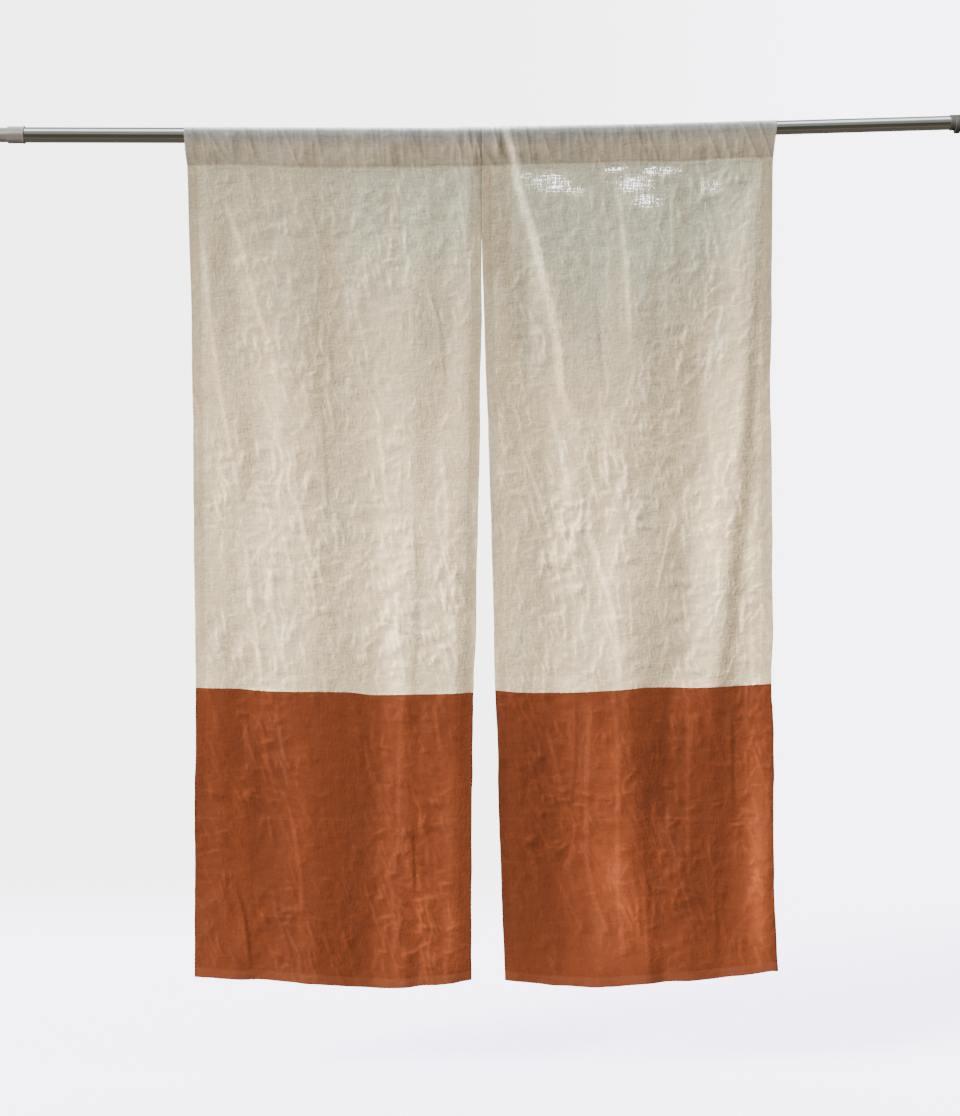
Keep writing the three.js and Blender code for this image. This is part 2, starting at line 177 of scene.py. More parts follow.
# %% [markdown]
# ## The two steel tubes
# A tube is a turned wall: out along the outside, back along the inside. The disc that the turning
# began with is deleted, and its rim is bridged to the last ring. The thin tube is cut into short
# rings near the joint, so that it can follow the slight bend inside the wider one.

# %% Make the tubes
WALL = 0.6
OUTER_RINGS = [-677, -345, -12]
INNER_RINGS = [-72, -10, -4, 2, 8, 14, 20, 24, 699]


def hollow_tube(name, rings, radius):
    outside = [(place, radius) for place in rings]
    inside = [(place, radius - WALL) for place in reversed(rings)]
    tube = turn(name, outside + inside, bevel=0)
    bpy.ops.object.mode_set(mode="EDIT")
    bpy.ops.mesh.select_all(action="DESELECT")
    bpy.ops.object.mode_set(mode="OBJECT")
    for face in tube.data.polygons:
        face.select = len(face.vertices) > 4
    bpy.ops.object.mode_set(mode="EDIT")
    bpy.ops.mesh.delete(type="FACE")
    bpy.ops.mesh.select_all(action="SELECT")
    bpy.ops.mesh.select_mode(type="EDGE")
    bpy.ops.mesh.select_all(action="DESELECT")
    bpy.ops.mesh.select_non_manifold()
    bpy.ops.mesh.bridge_edge_loops()
    bpy.ops.mesh.select_all(action="SELECT")
    bpy.ops.mesh.normals_make_consistent(inside=False)
    bpy.ops.object.mode_set(mode="OBJECT")
    return follow_rod(tube)


outer_tube = hollow_tube("outer_tube", OUTER_RINGS, OUTER_RADIUS)
inner_tube = hollow_tube("inner_tube", INNER_RINGS, INNER_RADIUS)

# %% [markdown]
# ## The collar
# On the left a grey plastic collar with a raised rim grips the wide tube, and a slimmer neck runs on
# to the foot. It is one moulded piece, so it is turned in one go: neck, body, rim and bore.

# %% Turn the collar
FIT = 0.3
PAD_THICKNESS = 6
neck_end = -SPAN / 2 + PAD_THICKNESS + FIT
COLLAR = [
    # place along the rod, radius
    (neck_end, 10.6), (-681, 10.6),
    (-681, 12.25), (-659, 12.25),
    (-658.6, 12.9), (-656.5, 12.9),
    (-656.5, 11.4), (-677.3, 11.4),
]
collar = follow_rod(turn("collar", COLLAR, bevel=0.35))

# %% [markdown]
# ## The cap
# On the right a dark cap covers the thin tube, with a small flange that hangs low. The flange is off
# the axis, so it can't be turned with the rest: it is turned alone, lowered and joined. The bore for
# the tube is then cut through both.

# %% Turn the cap, join its flange and bore it
FLANGE_DROP = 2.3
BORE_RADIUS = 10.5
cap_end = SPAN / 2 - PAD_THICKNESS - FIT
cap = turn("cap", [(cap_end, 11.35), (678, 11.35), (678, BORE_RADIUS), (699.3, BORE_RADIUS)], bevel=0.4)
flange = turn("flange", [(684.5, 13.35), (692, 13.35)], bevel=0.7)
bore = turn("bore", [(670, BORE_RADIUS), (699.3, BORE_RADIUS)], bevel=0)
for vertex in flange.data.vertices:
    vertex.co.z -= FLANGE_DROP * MM
for tool, operation in ((flange, "UNION"), (bore, "DIFFERENCE")):
    select_only(cap)
    joining = cap.modifiers.new("join", "BOOLEAN")
    joining.object = tool
    joining.operation = operation
    joining.solver = "EXACT"
    bpy.ops.object.modifier_apply(modifier=joining.name)
    bpy.data.objects.remove(tool)
cap = follow_rod(cap)

# %% [markdown]
# ## The foot pads
# Each end of a tension rod presses a round rubber pad flat on the wall. Both are the same turned disc.

# %% Turn the two pads
PAD_RADIUS = 15


def foot_pad(name, side):
    wall, back = side * SPAN / 2, side * (SPAN / 2 - PAD_THICKNESS)
    return follow_rod(turn(
        name, [(wall, 13.0), (wall, PAD_RADIUS), (back, PAD_RADIUS), (back, 11.5)], bevel=0.6))


left_pad = foot_pad("left_pad", -1)
right_pad = foot_pad("right_pad", 1)

# %% [markdown]
# ## How each panel hangs
# Every panel has an outline, three sagging lines (pocket stitching, colour seam and bottom edge) and
# a handful of folds that wander on their way down. Positive forward is towards the viewer.
# These are the sizes of the solids, so the cloth lies on them. The lean says which way the fine
# creases run at the left edge and at the right one, and a calm place holds fewer of them.

# %% Tables of the two panels, in millimetres
FOLD_DROPS = [45, 250, 450, 650, 850, 1050, 1220]
OUTLINE_DROPS = [-12, 20, 48, 143, 265, 375, 480, 590, 700, 785, 870, 1045, 1230]

LEFT_PANEL = {
    "name": "left",
    "left_edge": [-426.2, -425, -422.5, -420, -416.5, -415.2, -414, -413, -411.7, -409.8, -411,
                  -412.4, -412.6],
    "right_edge": [2.25, 2.25, 2.25, 2.25, 1.7, 0, -1.5, -3.6, -6, -8.7, -10.5, -11.8, -13],
    "sag_x": [-412, -358, -300, -235, -193, -150, -108, -55, -12],
    "stitch": [44, 42.5, 45, 46, 46, 46, 46, 44.5, 44],
    "seam": [796, 797, 801, 801.5, 802.5, 807, 805.5, 804.5, 803],
    "bottom": [1214, 1216.5, 1219, 1222.5, 1227, 1230.5, 1227.5, 1223, 1217.5],
    "folds": [
        ("left edge", None, [0, 0, 1, 1, 0, -3, -4]),
        ("side ridge", [-395, -380, -351, -372, -375, -371, -356], [1, 3, 4, 1, 3, 4, 5]),
        ("side valley", [-367, -342, -320, -349, -341, -326, -315], [0, -2, -1, -1, -4, -6, -6]),
        ("broad ridge", [-273, -263, -250, -241, -257, -245, -234], [1, 5, 8, 8, 9, 10, 10]),
        ("broad valley", [-209, -188, -165, -153, -146, -153, -157], [-1, -5, -7, -7, -9, -9, -9]),
        ("inner ridge", [-98, -97, -98, -101, -103, -105, -107], [1, 4, 5, 7, 8, 8, 9]),
        ("inner dip", [-51, -43, -64, -82, -86, -88, -88], [0, -2, 0, 3, 5, 5, 5]),
        ("slit ridge", [-20, -20, -28, -37, -37, -41, -43], [0, 0, 3, 7, 9, 9, 9]),
        ("right edge", None, [0, 0, 0, 1, 1, 0, -1]),
    ],
    "lean": (0.20, 0.04),
    "calm": [],
    "seed": 11,
    "crease_seed": 201,
}

RIGHT_PANEL = {
    "name": "right",
    "left_edge": [2.55, 2.55, 2.55, 2.55, 5.8, 9.4, 13, 16.6, 19.2, 21.6, 24.5, 28.9, 36.5],
    "right_edge": [427.4, 424, 422.5, 421.8, 420.2, 418.8, 420.4, 421.8, 421.8, 420.4, 423.7,
                   423.8, 430],
    "sag_x": [26, 75, 115, 162, 196, 245, 303, 361, 421],
    "stitch": [43.5, 43.5, 43.5, 44, 43, 44, 45, 42.5, 43],
    "seam": [800, 803.5, 803.5, 801.5, 799.5, 795.5, 796, 794, 790],
    "bottom": [1216, 1222.5, 1227, 1228, 1226, 1222, 1219.5, 1214.5, 1204],
    "folds": [
        ("left edge", None, [0, 0, 2, 5, 5, 5, 4]),
        ("slit valley", [40, 59, 84, 100, 113, 115, 115], [0, -3, -5, -6, -7, -6, -5]),
        ("corner ridge", [79, 115, 144, 151, 172, 173, 180], [1, 5, 4, 4, 4, 4, 4]),
        ("shallow dip", [180, 178, 172, 174, 185, 186, 192], [-1, 0, 3, 3, 4, 4, 4]),
        ("broad ridge", [231, 232, 225, 214, 218, 222, 240], [1, 4, 5, 8, 9, 10, 10]),
        ("broad valley", [303, 326, 307, 293, 274, 266, 271], [-1, -6, -7, -7, -8, -7, -4]),
        ("outer ridge", [398, 387, 372, 352, 329, 309, 300], [1, 7, 8, 7, 3, 0, -2]),
        ("outer valley", [412, 407, 398, 380, 371, 361, 346], [0, 1, -1, -3, -8, -9, -8]),
        ("right edge", None, [0, 0, 2, 4, 3, 5, 6]),
    ],
    "lean": (0.19, -0.08),
    "calm": [(196, 1058, 26, 34, 0.55)],
    "seed": 47,
    "crease_seed": 202,
}

for panel in (LEFT_PANEL, RIGHT_PANEL):
    print(panel["name"], "panel, mm wide at the rod:", panel["right_edge"][0] - panel["left_edge"][0])

# %% [markdown]
# ## Creases one by one
# Washed linen keeps the creases of its folding. Each row is one crease: how high its steep flank
# stands, how wide that flank is, and the line that it runs down, as places across and drops.
# A positive rise turns the flank to the window on the left, so it reads as a light streak.

# %% Tables of creases: rise, width, and (across, drop) places, in millimetres
LEFT_CREASES = [
    (1.6, 9, [(-369, 92), (-343, 170), (-320, 255), (-303, 309), (-294, 358)]),
    (1.3, 9, [(-315, 378), (-296, 424), (-277, 486), (-260, 547), (-242, 615)]),
    (1.2, 7, [(-402, 150), (-392, 242), (-379, 342), (-366, 420), (-348, 515)]),
    (1.3, 7, [(-312, 626), (-303, 669), (-290, 734), (-276, 779)]),
    (0.8, 5, [(-338, 606), (-323, 721), (-316, 791)]),
    (0.8, 6, [(-185, 222), (-173, 273), (-163, 316)]),
    (1.1, 7, [(-147, 424), (-140, 486), (-136, 521)]),
    (1.3, 8, [(-150, 568), (-127, 630), (-120, 682), (-113, 779)]),
    (0.9, 6, [(-56, 450), (-48, 551), (-51, 620)]),
    (1.0, 4, [(-29, 86), (-22, 153)]),
    (-0.9, 6, [(-72, 215), (-56, 280), (-49, 358)]),
    (-0.8, 4, [(-95, 554), (-89, 655)]),
    (-0.8, 6, [(-216, 301), (-211, 363)]),
    (-0.7, 6, [(-228, 381), (-221, 482), (-215, 612)]),
    (1.0, 6, [(-317, 851), (-307, 900), (-283, 951), (-271, 987), (-258, 1091), (-258, 1131)]),
    (0.9, 5, [(-294, 817), (-287, 879), (-277, 906)]),
    (1.2, 7, [(-114, 814), (-118, 968), (-118, 1014), (-127, 1063), (-123, 1174)]),
    (0.9, 5, [(-66, 822), (-58, 883)]),
    (0.9, 6, [(-400, 1052), (-385, 1085), (-367, 1120)]),
    (-1.0, 4, [(-97, 1004), (-94, 1084)]),
    (-0.9, 5, [(-349, 1088), (-339, 1127), (-330, 1198)]),
    (-0.8, 5, [(-283, 1138), (-276, 1163), (-266, 1200)]),
    (1.2, 5, [(-382, 3), (-350, 39)]),
    (0.9, 5, [(-401, 16), (-387, 34)]),
    (1.2, 6, [(-46, -9), (-18, 43)]),
    (1.3, 3, [(-21, -14), (-21, 20)]),
]

RIGHT_CREASES = [
    (3.4, 12, [(44, 20), (50, 50), (60, 89), (84, 177), (108, 283), (115, 358), (126, 389)]),
    (1.2, 7, [(101, 391), (111, 433), (124, 486), (131, 538), (137, 652)]),
    (1.5, 8, [(199, 78), (209, 170), (216, 294)]),
    (1.1, 8, [(180, 402), (186, 446), (214, 515)]),
    (1.8, 8, [(153, 547), (167, 610), (186, 669), (196, 721), (201, 791)]),
    (0.9, 5, [(62, 456), (91, 538), (111, 616), (124, 739)]),
    (0.7, 5, [(325, 89), (348, 193)]),
    (0.8, 6, [(276, 78), (276, 182)]),
    (0.8, 4, [(278, 548), (255, 652)]),
    (1.1, 7, [(398, 547), (390, 682), (394, 791)]),
    (-0.9, 7, [(166, 237), (170, 280), (175, 345)]),
    (1.1, 7, [(157, 828), (153, 944), (153, 1021), (163, 1094), (182, 1143)]),
    (0.9, 7, [(192, 811), (198, 886), (198, 1075), (208, 1186)]),
    (0.9, 5, [(97, 860), (117, 941), (128, 988)]),
    (0.9, 5, [(111, 1071), (140, 1133)]),
    (0.5, 6, [(234, 1073), (241, 1192)]),
    (0.9, 6, [(300, 814), (300, 941), (300, 1060)]),
    (0.8, 4, [(270, 1000), (293, 1079)]),
    (-0.9, 6, [(365, 845), (367, 961)]),
    (-0.45, 7, [(341, 1053), (345, 1195)]),
    (-1.0, 5, [(140, 819), (139, 900), (133, 958)]),
    (3.2, 8, [(30, -14), (44, 14), (58, 44)]),
    (1.1, 5, [(47, -17), (68, 9)]),
    (1.3, 3, [(23, -14), (23, 27)]),
    (0.8, 4, [(352, 6), (349, 30)]),
    (0.8, 4, [(371, 0), (368, 32)]),
]

# %% [markdown]
# ## Ready to be measured
# Before anything is measured, each table of a panel is made into a curve, so that the place of an
# edge, a fold or a crease can be asked for at any drop.

# %% Make curves of a panel's tables
def prepare(panel, creases):
    panel["left_at"] = curve_through(OUTLINE_DROPS, panel["left_edge"])
    panel["right_at"] = curve_through(OUTLINE_DROPS, panel["right_edge"])
    for line in ("stitch", "seam", "bottom"):
        panel[line + "_at"] = curve_through(panel["sag_x"], panel[line])
    panel["fold_lines"] = []
    for name, across, forward in panel["folds"]:
        edge = panel["left_at"] if name == "left edge" else panel["right_at"]
        line = curve_through(FOLD_DROPS, across) if across else edge
        panel["fold_lines"].append((line, curve_through(FOLD_DROPS, forward)))
    panel["crease_lines"] = []
    for rise, width, places in creases:
        across, drops = zip(*places)
        line = curve_through(drops, across)
        panel["crease_lines"].append((rise, width, line, drops[0], drops[-1]))


prepare(LEFT_PANEL, LEFT_CREASES)
prepare(RIGHT_PANEL, RIGHT_CREASES)
print("placed creases:", len(LEFT_CREASES), "left,", len(RIGHT_CREASES), "right")

# %% [markdown]
# ## Folds and placed creases
# A soft fold eases from ridge to valley and back. A crease is different: it climbs steeply over its
# flank and then settles slowly, like a small wave, and it fades out at both of its ends.

# %% Depth of the folds, and of the creases on them
FADE_LENGTH = 25.0
FLANK_EDGE = 0.6
SETTLE_WIDTHS = 3.0


def broad_folds(panel, x, drop):
    lines = [(line(drop), forward(drop)) for line, forward in panel["fold_lines"]]
    depth = lines[0][1]
    for (start, low), (end, high) in zip(lines, lines[1:]):
        depth = np.where(x > start, low + (high - low) * smooth_step(x, start, end), depth)
    return depth


def placed_creases(panel, x, drop):
    depth = np.zeros(np.broadcast(x, drop).shape)
    for rise, width, line, top, bottom in panel["crease_lines"]:
        fade = min(FADE_LENGTH, 0.3 * (bottom - top))
        along = smooth_step(drop, top - fade, top + fade)
        along = along * (1 - smooth_step(drop, bottom - fade, bottom + fade))
        beside = math.copysign(1, rise) * (x - line(drop)) / width
        climb = smooth_step(beside, -FLANK_EDGE, FLANK_EDGE)
        settle = np.exp(-np.maximum(beside - FLANK_EDGE, 0) / SETTLE_WIDTHS)
        depth = depth + abs(rise) * along * climb * settle
    return depth


# %% [markdown]
# ## Smooth noise
# Many things in cloth vary slowly and without plan, such as how busy its crumple is or how an edge
# wanders. Blender's own noise could be read point by point, but a whole panel at once is faster in
# numpy: a fixed table of random numbers is blended with the weights of a cubic spline.

# %% Smooth noise from a fixed table of random numbers
NOISE_TABLE = 64


def soft_noise(across, down, seed):
    table = np.random.default_rng(seed).standard_normal((NOISE_TABLE, NOISE_TABLE))
    column, row = np.floor(across).astype(int), np.floor(down).astype(int)
    p, q = across - column, down - row

    def weights(t):
        return ((1 - t) ** 3 / 6, (3 * t ** 3 - 6 * t ** 2 + 4) / 6,
                (-3 * t ** 3 + 3 * t ** 2 + 3 * t + 1) / 6, t ** 3 / 6)

    total = 0.0
    for i, weight_across in enumerate(weights(p)):
        for j, weight_down in enumerate(weights(q)):
            number = table[(column + i) % NOISE_TABLE, (row + j) % NOISE_TABLE]
            total = total + weight_across * weight_down * number
    return total * 2.0


# %% [markdown]
# ## Crumple
# Between the placed creases, washed linen is covered with thousands of finer ones. Folded noise could
# make them, but it curls like water, and real creases are short, nearly straight and steep on one
# side. So they are scattered over a map of the panel, one cell to a millimetre. What is broader than
# a finger is taken out of the map again, because the folds of the panel already hold it.

# %% The section of one fine crease, and how the broad parts are taken out
TAIL_WIDTHS = 2.4
FINGER_REACH = 17


def crease_shape(beside):
    return smooth_step(beside, -0.5, 0.5) * np.exp(-np.maximum(beside - 0.5, 0) / TAIL_WIDTHS)


def without_broad_parts(height, reach=FINGER_REACH):
    blurred = height
    for axis in (0, 0, 1, 1):
        padded = np.concatenate([np.take(blurred, [0] * (reach + 1), axis), blurred,
                                 np.take(blurred, [-1] * reach, axis)], axis)
        total = np.cumsum(padded, axis)
        count = blurred.shape[axis]
        blurred = (np.take(total, range(2 * reach + 1, 2 * reach + 1 + count), axis)
                   - np.take(total, range(count), axis)) / (2 * reach + 1)
    return height - blurred


# %% [markdown]
# ## A map to stamp on
# Asking every crease at every point of the cloth would take minutes. So each crease is stamped once
# on a map, only over the few cells that it reaches, and the cloth reads the map afterwards.

# %% A blank map, and the stamp of one crease
MAP_TOP = -60
MAP_DOWN = 1330
LEFT_MARGIN = 12
RIGHT_MARGIN = 45


def blank_map(panel):
    left = int(panel["left_edge"][0]) - LEFT_MARGIN
    right = int(panel["right_edge"][0]) + RIGHT_MARGIN
    return left, right, np.zeros((MAP_DOWN, right - left))


def stamp(height, left, x, drop, reach_x, reach_drop, shape):
    right, bottom = left + height.shape[1], MAP_TOP + MAP_DOWN
    x0, x1 = max(int(x - reach_x), left), min(int(x + reach_x), right)
    d0, d1 = max(int(drop - reach_drop), MAP_TOP), min(int(drop + reach_drop), bottom)
    if x1 > x0 and d1 > d0:
        across, down = np.meshgrid(np.arange(x0, x1) - x, np.arange(d0, d1) - drop)
        height[d0 - MAP_TOP:d1 - MAP_TOP, x0 - left:x1 - left] += shape(across, down)


def faded(share):
    return np.clip(1 - share ** 2, 0, 1) ** 1.5


# %% [markdown]
# ## Scattered creases
# Three sorts of crease follow the lean of the cloth: long, short and tiny ones. A last sort crosses
# it, and stands higher in the lower cloth. Short ones don't reach their full height.

# %% Scatter the creases
SEAM_DROP = 800
FULL_RISE_AT = 12
STAMP_WIDTHS = 13
LENGTHWISE = [
    # how many, half length, flank width, rise, spread of the lean, added lean
    (330, (14, 40), (4.0, 6.0), (0.50, 1.90), 0.16, 0.00),
    (1400, (7, 18), (3.2, 4.6), (0.45, 1.60), 0.28, 0.10),
    (2400, (4, 10), (2.8, 3.8), (0.50, 1.50), 0.60, 0.30),
]
CROSSWISE = (1800, (4, 14), (2.8, 4.0), (0.30, 1.10))


def crease_map(panel):
    random = np.random.default_rng(panel["crease_seed"])
    left, right, height = blank_map(panel)
    bottom = MAP_TOP + MAP_DOWN
    for count, lengths, widths, rises, spread, added in LENGTHWISE:
        for _ in range(count):
            x, drop = random.uniform(left, right), random.uniform(MAP_TOP, bottom)
            share = (x - left) / (right - left)
            lean = panel["lean"][0] + (panel["lean"][1] - panel["lean"][0]) * share
            lean = lean + added * (1 if lean > 0 else -1) + spread * random.standard_normal()
            lean = lean + (0.25 if drop > SEAM_DROP else 0)
            half, width = random.uniform(*lengths), random.uniform(*widths)
            rise = random.uniform(*rises) * min(1, half / FULL_RISE_AT)
            bow = 0.003 * random.standard_normal()

            def slanting(across, down):
                beside = (across - lean * down - bow * down * down) / width
                return rise * crease_shape(beside) * faded(down / half)

            reach = STAMP_WIDTHS * width + half * (abs(lean) + 0.1)
            stamp(height, left, x, drop, reach, half, slanting)

    count, lengths, widths, rises = CROSSWISE
    for _ in range(count):
        x, drop = random.uniform(left, right), random.uniform(MAP_TOP, bottom)
        half, width = random.uniform(*lengths), random.uniform(*widths)
        rise, lean = random.uniform(*rises), 0.3 + 0.35 * random.standard_normal()
        rise = rise * (2.0 if drop > SEAM_DROP else 1.2) * min(1, half / FULL_RISE_AT)

        def level(across, down):
            return rise * crease_shape((down - lean * across) / width) * faded(across / half)

        reach = STAMP_WIDTHS * width + half * (abs(lean) + 0.1)
        stamp(height, left, x, drop, half, reach, level)
    return left, without_broad_parts(height)


for panel in (LEFT_PANEL, RIGHT_PANEL):
    panel["creased"] = crease_map(panel)
print("scattered", 2 * (sum(sort[0] for sort in LENGTHWISE) + CROSSWISE[0]), "creases")

# %% [markdown]
# ## The crumple of a panel
# The map is read through a slow wander, so that no crease is quite straight. Cloth that turns towards
# the window shows more of it, the stiff top near the rod less, and soft dents lie under it all.

# %% Read the map as crumple
VIGOUR = [(40, 0.55), (60, 0.58), (150, 0.62), (300, 0.86), (500, 1.0), (790, 0.96), (815, 0.6)]
WANDER = 2.4
DENT_DEPTH = 0.3


def between_rows(rows, at):
    places, values = zip(*rows)
    return np.interp(at, places, values)


def read_map(crease_table, x, drop):
    left, height = crease_table
    x, drop = np.broadcast_arrays(np.asarray(x, float) - left, np.asarray(drop, float) - MAP_TOP)
    x, drop = np.clip(x, 0, height.shape[1] - 1.001), np.clip(drop, 0, height.shape[0] - 1.001)
    i, j = np.floor(drop).astype(int), np.floor(x).astype(int)
    p, q = drop - i, x - j
    above = height[i, j] * (1 - q) + height[i, j + 1] * q
    below = height[i + 1, j] * (1 - q) + height[i + 1, j + 1] * q
    return above * (1 - p) + below * p


def crumple(panel, x, drop):
    seed = panel["seed"]
    wander_x = WANDER * soft_noise(x / 24, drop / 20, seed)
    wander_drop = WANDER * soft_noise(x / 22, drop / 26, seed + 3)
    busy = np.clip(1.0 + 0.28 * soft_noise(x / 55, drop / 80, seed + 1), 0.5, 1.5)
    slope = (broad_folds(panel, x + 6, drop) - broad_folds(panel, x - 6, drop)) / 12
    busy = busy * np.clip(1 + 1.5 * slope, 0.55, 1.5)
    for across, down, half_wide, half_tall, less in panel["calm"]:
        near = np.exp(-((x - across) / half_wide) ** 2 - ((drop - down) / half_tall) ** 2)
        busy = busy * (1 - less * near)
    dents = DENT_DEPTH * soft_noise(x / 13, drop / 20, seed + 5)
    creases = read_map(panel["creased"], x + wander_x, drop + wander_drop)
    return between_rows(VIGOUR, drop) * busy * (creases + dents)


sample = crumple(LEFT_PANEL, np.linspace(-400, -20, 60), np.full(60, 600.0))
print("crumple across the left panel, mm:", sample.min().round(1), "to", sample.max().round(1))

# %% [markdown]
# ## The face of a panel
# One function says how far forward the cloth stands at any place: the broad folds, the placed
# creases, the crumple, and the small groove that each row of stitching pulls into it. Near a hem, a
# seam or a row of stitches the cloth is stiffer, so the relief is lower there.

# %% Depth of the cloth at a place
HEM = 15.6
BOTTOM_HEM = 14.0
CREASE_GAIN = 1.25


def relief(panel, x, drop):
    return crumple(panel, x, drop) + CREASE_GAIN * placed_creases(panel, x, drop)


def groove(distance, width, depth):
    return -depth * np.exp(-(distance / width) ** 2)


def cloth_depth(panel, x, drop):
    inside = np.minimum(x - panel["left_at"](drop), panel["right_at"](drop) - x)
    from_bottom = panel["bottom_at"](x) - drop
    from_seam = drop - panel["seam_at"](x)
    from_stitches = drop - panel["stitch_at"](x)
    give = 1.0
    for least, distance, near, far in (
            (0.35, inside, 10, 40), (0.45, from_bottom, 10, 50),
            (0.55, np.abs(from_seam), 3, 25), (0.4, np.abs(from_stitches), 2, 18)):
        give = give * (least + (1 - least) * smooth_step(distance, near, far))
    beside_hem = np.exp(-((inside - HEM) / 5) ** 2)
    pucker = 0.12 * np.sin(drop / 2.1 + 3 * soft_noise(drop / 30, x * 0, 5)) * beside_hem
    sewn = groove(inside - (HEM - 1.2), 1.3, 0.22) + groove(from_bottom - (BOTTOM_HEM - 1), 1.3, 0.3)
    sewn = sewn + groove(from_seam, 1.6, 0.45)
    return broad_folds(panel, x, drop) + give * relief(panel, x, drop) + sewn + pucker


for panel in (LEFT_PANEL, RIGHT_PANEL):
    across = np.linspace(panel["left_edge"][3], panel["right_edge"][3], 60)
    middle = cloth_depth(panel, across, np.full(60, 600.0))
    print(panel["name"], "fold depth at half height, mm:", middle.min().round(1), "to", middle.max().round(1))

# %% [markdown]
# ## One sheet, hemmed all round
# A real panel is a flat cut that is turned back at its sides and sewn. The sheet below does the same:
# its first and last columns lie behind the front, so a hem is a second layer and not a thicker one.
# It could be a plane with modifiers, but a grid in code keeps every thread line where it is cut.

# %% Columns across a panel
COLUMN_STEP = 2.1
HEM_GAP = 0.7
FIRST_COLUMN = 1.4
HEM_TURN = [
    # in from the edge, share of the way behind the front
    (HEM, 1), (12.5, 1), (9.4, 1), (6.2, 1), (3.4, 1), (1.4, 1),
    (0.5, 0.93), (0.12, 0.75), (0.0, 0.5), (0.12, 0.25), (0.5, 0.07),
]


def columns_across(panel):
    count = int(round((panel["right_edge"][0] - panel["left_edge"][0]) / COLUMN_STEP))
    left_hem = [(0.0, inset, behind) for inset, behind in HEM_TURN]
    middle = [(share, FIRST_COLUMN * (1 - 2 * share), 0.0) for share in np.linspace(0, 1, count + 1)]
    right_hem = [(1.0, -inset, behind) for inset, behind in reversed(HEM_TURN)]
    return np.array(left_hem + middle + right_hem).T


print("columns across:", columns_across(LEFT_PANEL).shape[1], columns_across(RIGHT_PANEL).shape[1])

# %% [markdown]
# ## Where the two panels meet
# For the first hand's breadth under the rod the left panel's edge is tucked behind the right one, so
# that no light shows between them. Further down the panels part and the slit opens. A cut edge is
# never quite straight either, so both edges wander by half a millimetre.

# %% Where a column runs, with its wander and its tuck
PANEL_WIDTH = 425
TUCK_COLUMNS = (408, 424.4)
TUCK_ENDS = (138, 152)
TUCK_REACH = 1.7
TUCK_DEPTH = 1.9
EDGE_SEEDS = (71, 83)


def tucked(panel, share, inset, drop):
    if panel["name"] == "right":
        return np.zeros(np.broadcast(share, drop).shape)
    near = smooth_step(share * PANEL_WIDTH + inset, *TUCK_COLUMNS)
    return near * (1 - smooth_step(np.asarray(drop, float), *TUCK_ENDS))


def edge_wander(drop, seed):
    still = drop * 0 + 0.5
    return 0.5 * soft_noise(drop / 45, still, seed) + 0.2 * soft_noise(drop / 14, still, seed + 1)


def across_at(panel, share, inset, drop):
    free = smooth_step(drop, 150, 300)
    left, right = (panel[side](drop) + edge_wander(drop, seed) * free
                   for side, seed in zip(("left_at", "right_at"), EDGE_SEEDS))
    return left + (right - left) * share + inset + TUCK_REACH * tucked(panel, share, inset, drop)


# %% [markdown]
# ## The rod pocket
# The top edge is folded over the rod and sewn to itself. In section it is a loop: a short flap under
# the stitching at the back, up the back, over the rod, and down the front to the same stitching.
# Cloth that hangs on a rod touches it at the top only, so the loop is a little wider than the rod.
# A row of the section is a depth, a height, the way it faces, and how loose the cloth is there.

# %% Section of the pocket, from the flap behind to the stitching in front
POCKET_RADIUS = 11.85
WRAP = math.radians(104)
CROWN = curve_through(
    [-430, -55, -29, 6, 75, 144, 196, 248, 405, 430],
    [11.85, 11.9, 12.7, 13.7, 12.6, 12.0, 11.5, 11.0, 11.0, 11.6])
FLAP = 7.0
FLAP_ROWS = (1, 0.6, 0.25)
FIRST_LENGTH = 2.7
FLANK_STEPS = 17
ARC_STEPS = 26


def pocket_section(panel, share, inset):
    top_x = across_at(panel, share, inset, np.zeros_like(share))
    stitch = panel["stitch_at"](top_x) - rod_height(top_x)
    centre = rod_height(top_x) + CROWN(top_x) - POCKET_RADIUS
    foot = -cloth_depth(panel, across_at(panel, share, inset, stitch), stitch)
    arc_y, arc_z = POCKET_RADIUS * math.sin(WRAP), centre + POCKET_RADIUS * math.cos(WRAP)
    rows = [(foot + 1.0 + 0.3 * low, -stitch - FLAP * low, 1, 0, 0) for low in FLAP_ROWS]

    def flank(side, steps):
        start = foot + (0.9 if side > 0 else 0)
        for t in steps:
            uneven = 1 + 0.5 * soft_noise(top_x / 23, top_x * 0 + side, 31)
            bulge = 0.9 * math.sin(math.pi * t) * uneven
            rows.append((start + (side * arc_y - start) * t + side * bulge,
                         -stitch + (arc_z + stitch) * t, side * 0.97, -0.24, min(1, 2.2 * t)))

    steps = np.linspace(0, 1, FLANK_STEPS)[:-1]
    flank(1, steps)
    for angle in np.linspace(WRAP, -WRAP, ARC_STEPS):
        y, z = POCKET_RADIUS * math.sin(angle), centre + POCKET_RADIUS * math.cos(angle)
        loose = 1 - 0.6 * smooth_step(math.cos(angle), 0, 1)
        rows.append((y, z, math.sin(angle), math.cos(angle), loose))
    flank(-1, steps[:0:-1])
    y, z, normal_y, normal_z, loose = (
        np.array([np.broadcast_to(row[i], share.shape) for row in rows]) for i in range(5))
    length = np.cumsum(np.hypot(np.diff(y, axis=0), np.diff(z, axis=0))[::-1], axis=0)[::-1]
    length = np.concatenate([length, np.zeros_like(length[:1])]) + FIRST_LENGTH
    return y, z, normal_y, normal_z, loose, stitch - length, stitch


*_, reached, sewn_at = pocket_section(LEFT_PANEL, np.array([0.5]), np.array([0.0]))
print("cloth over the rod, mm:", (sewn_at - reached).max().round(1))

# %% [markdown]
# ## Gathers
# The pocket is a little wider than the rod is long, so the cloth gathers over it, most of all beside
# the slit. Here folded noise is right: its zero lines make sharp ridges with soft hollows between.

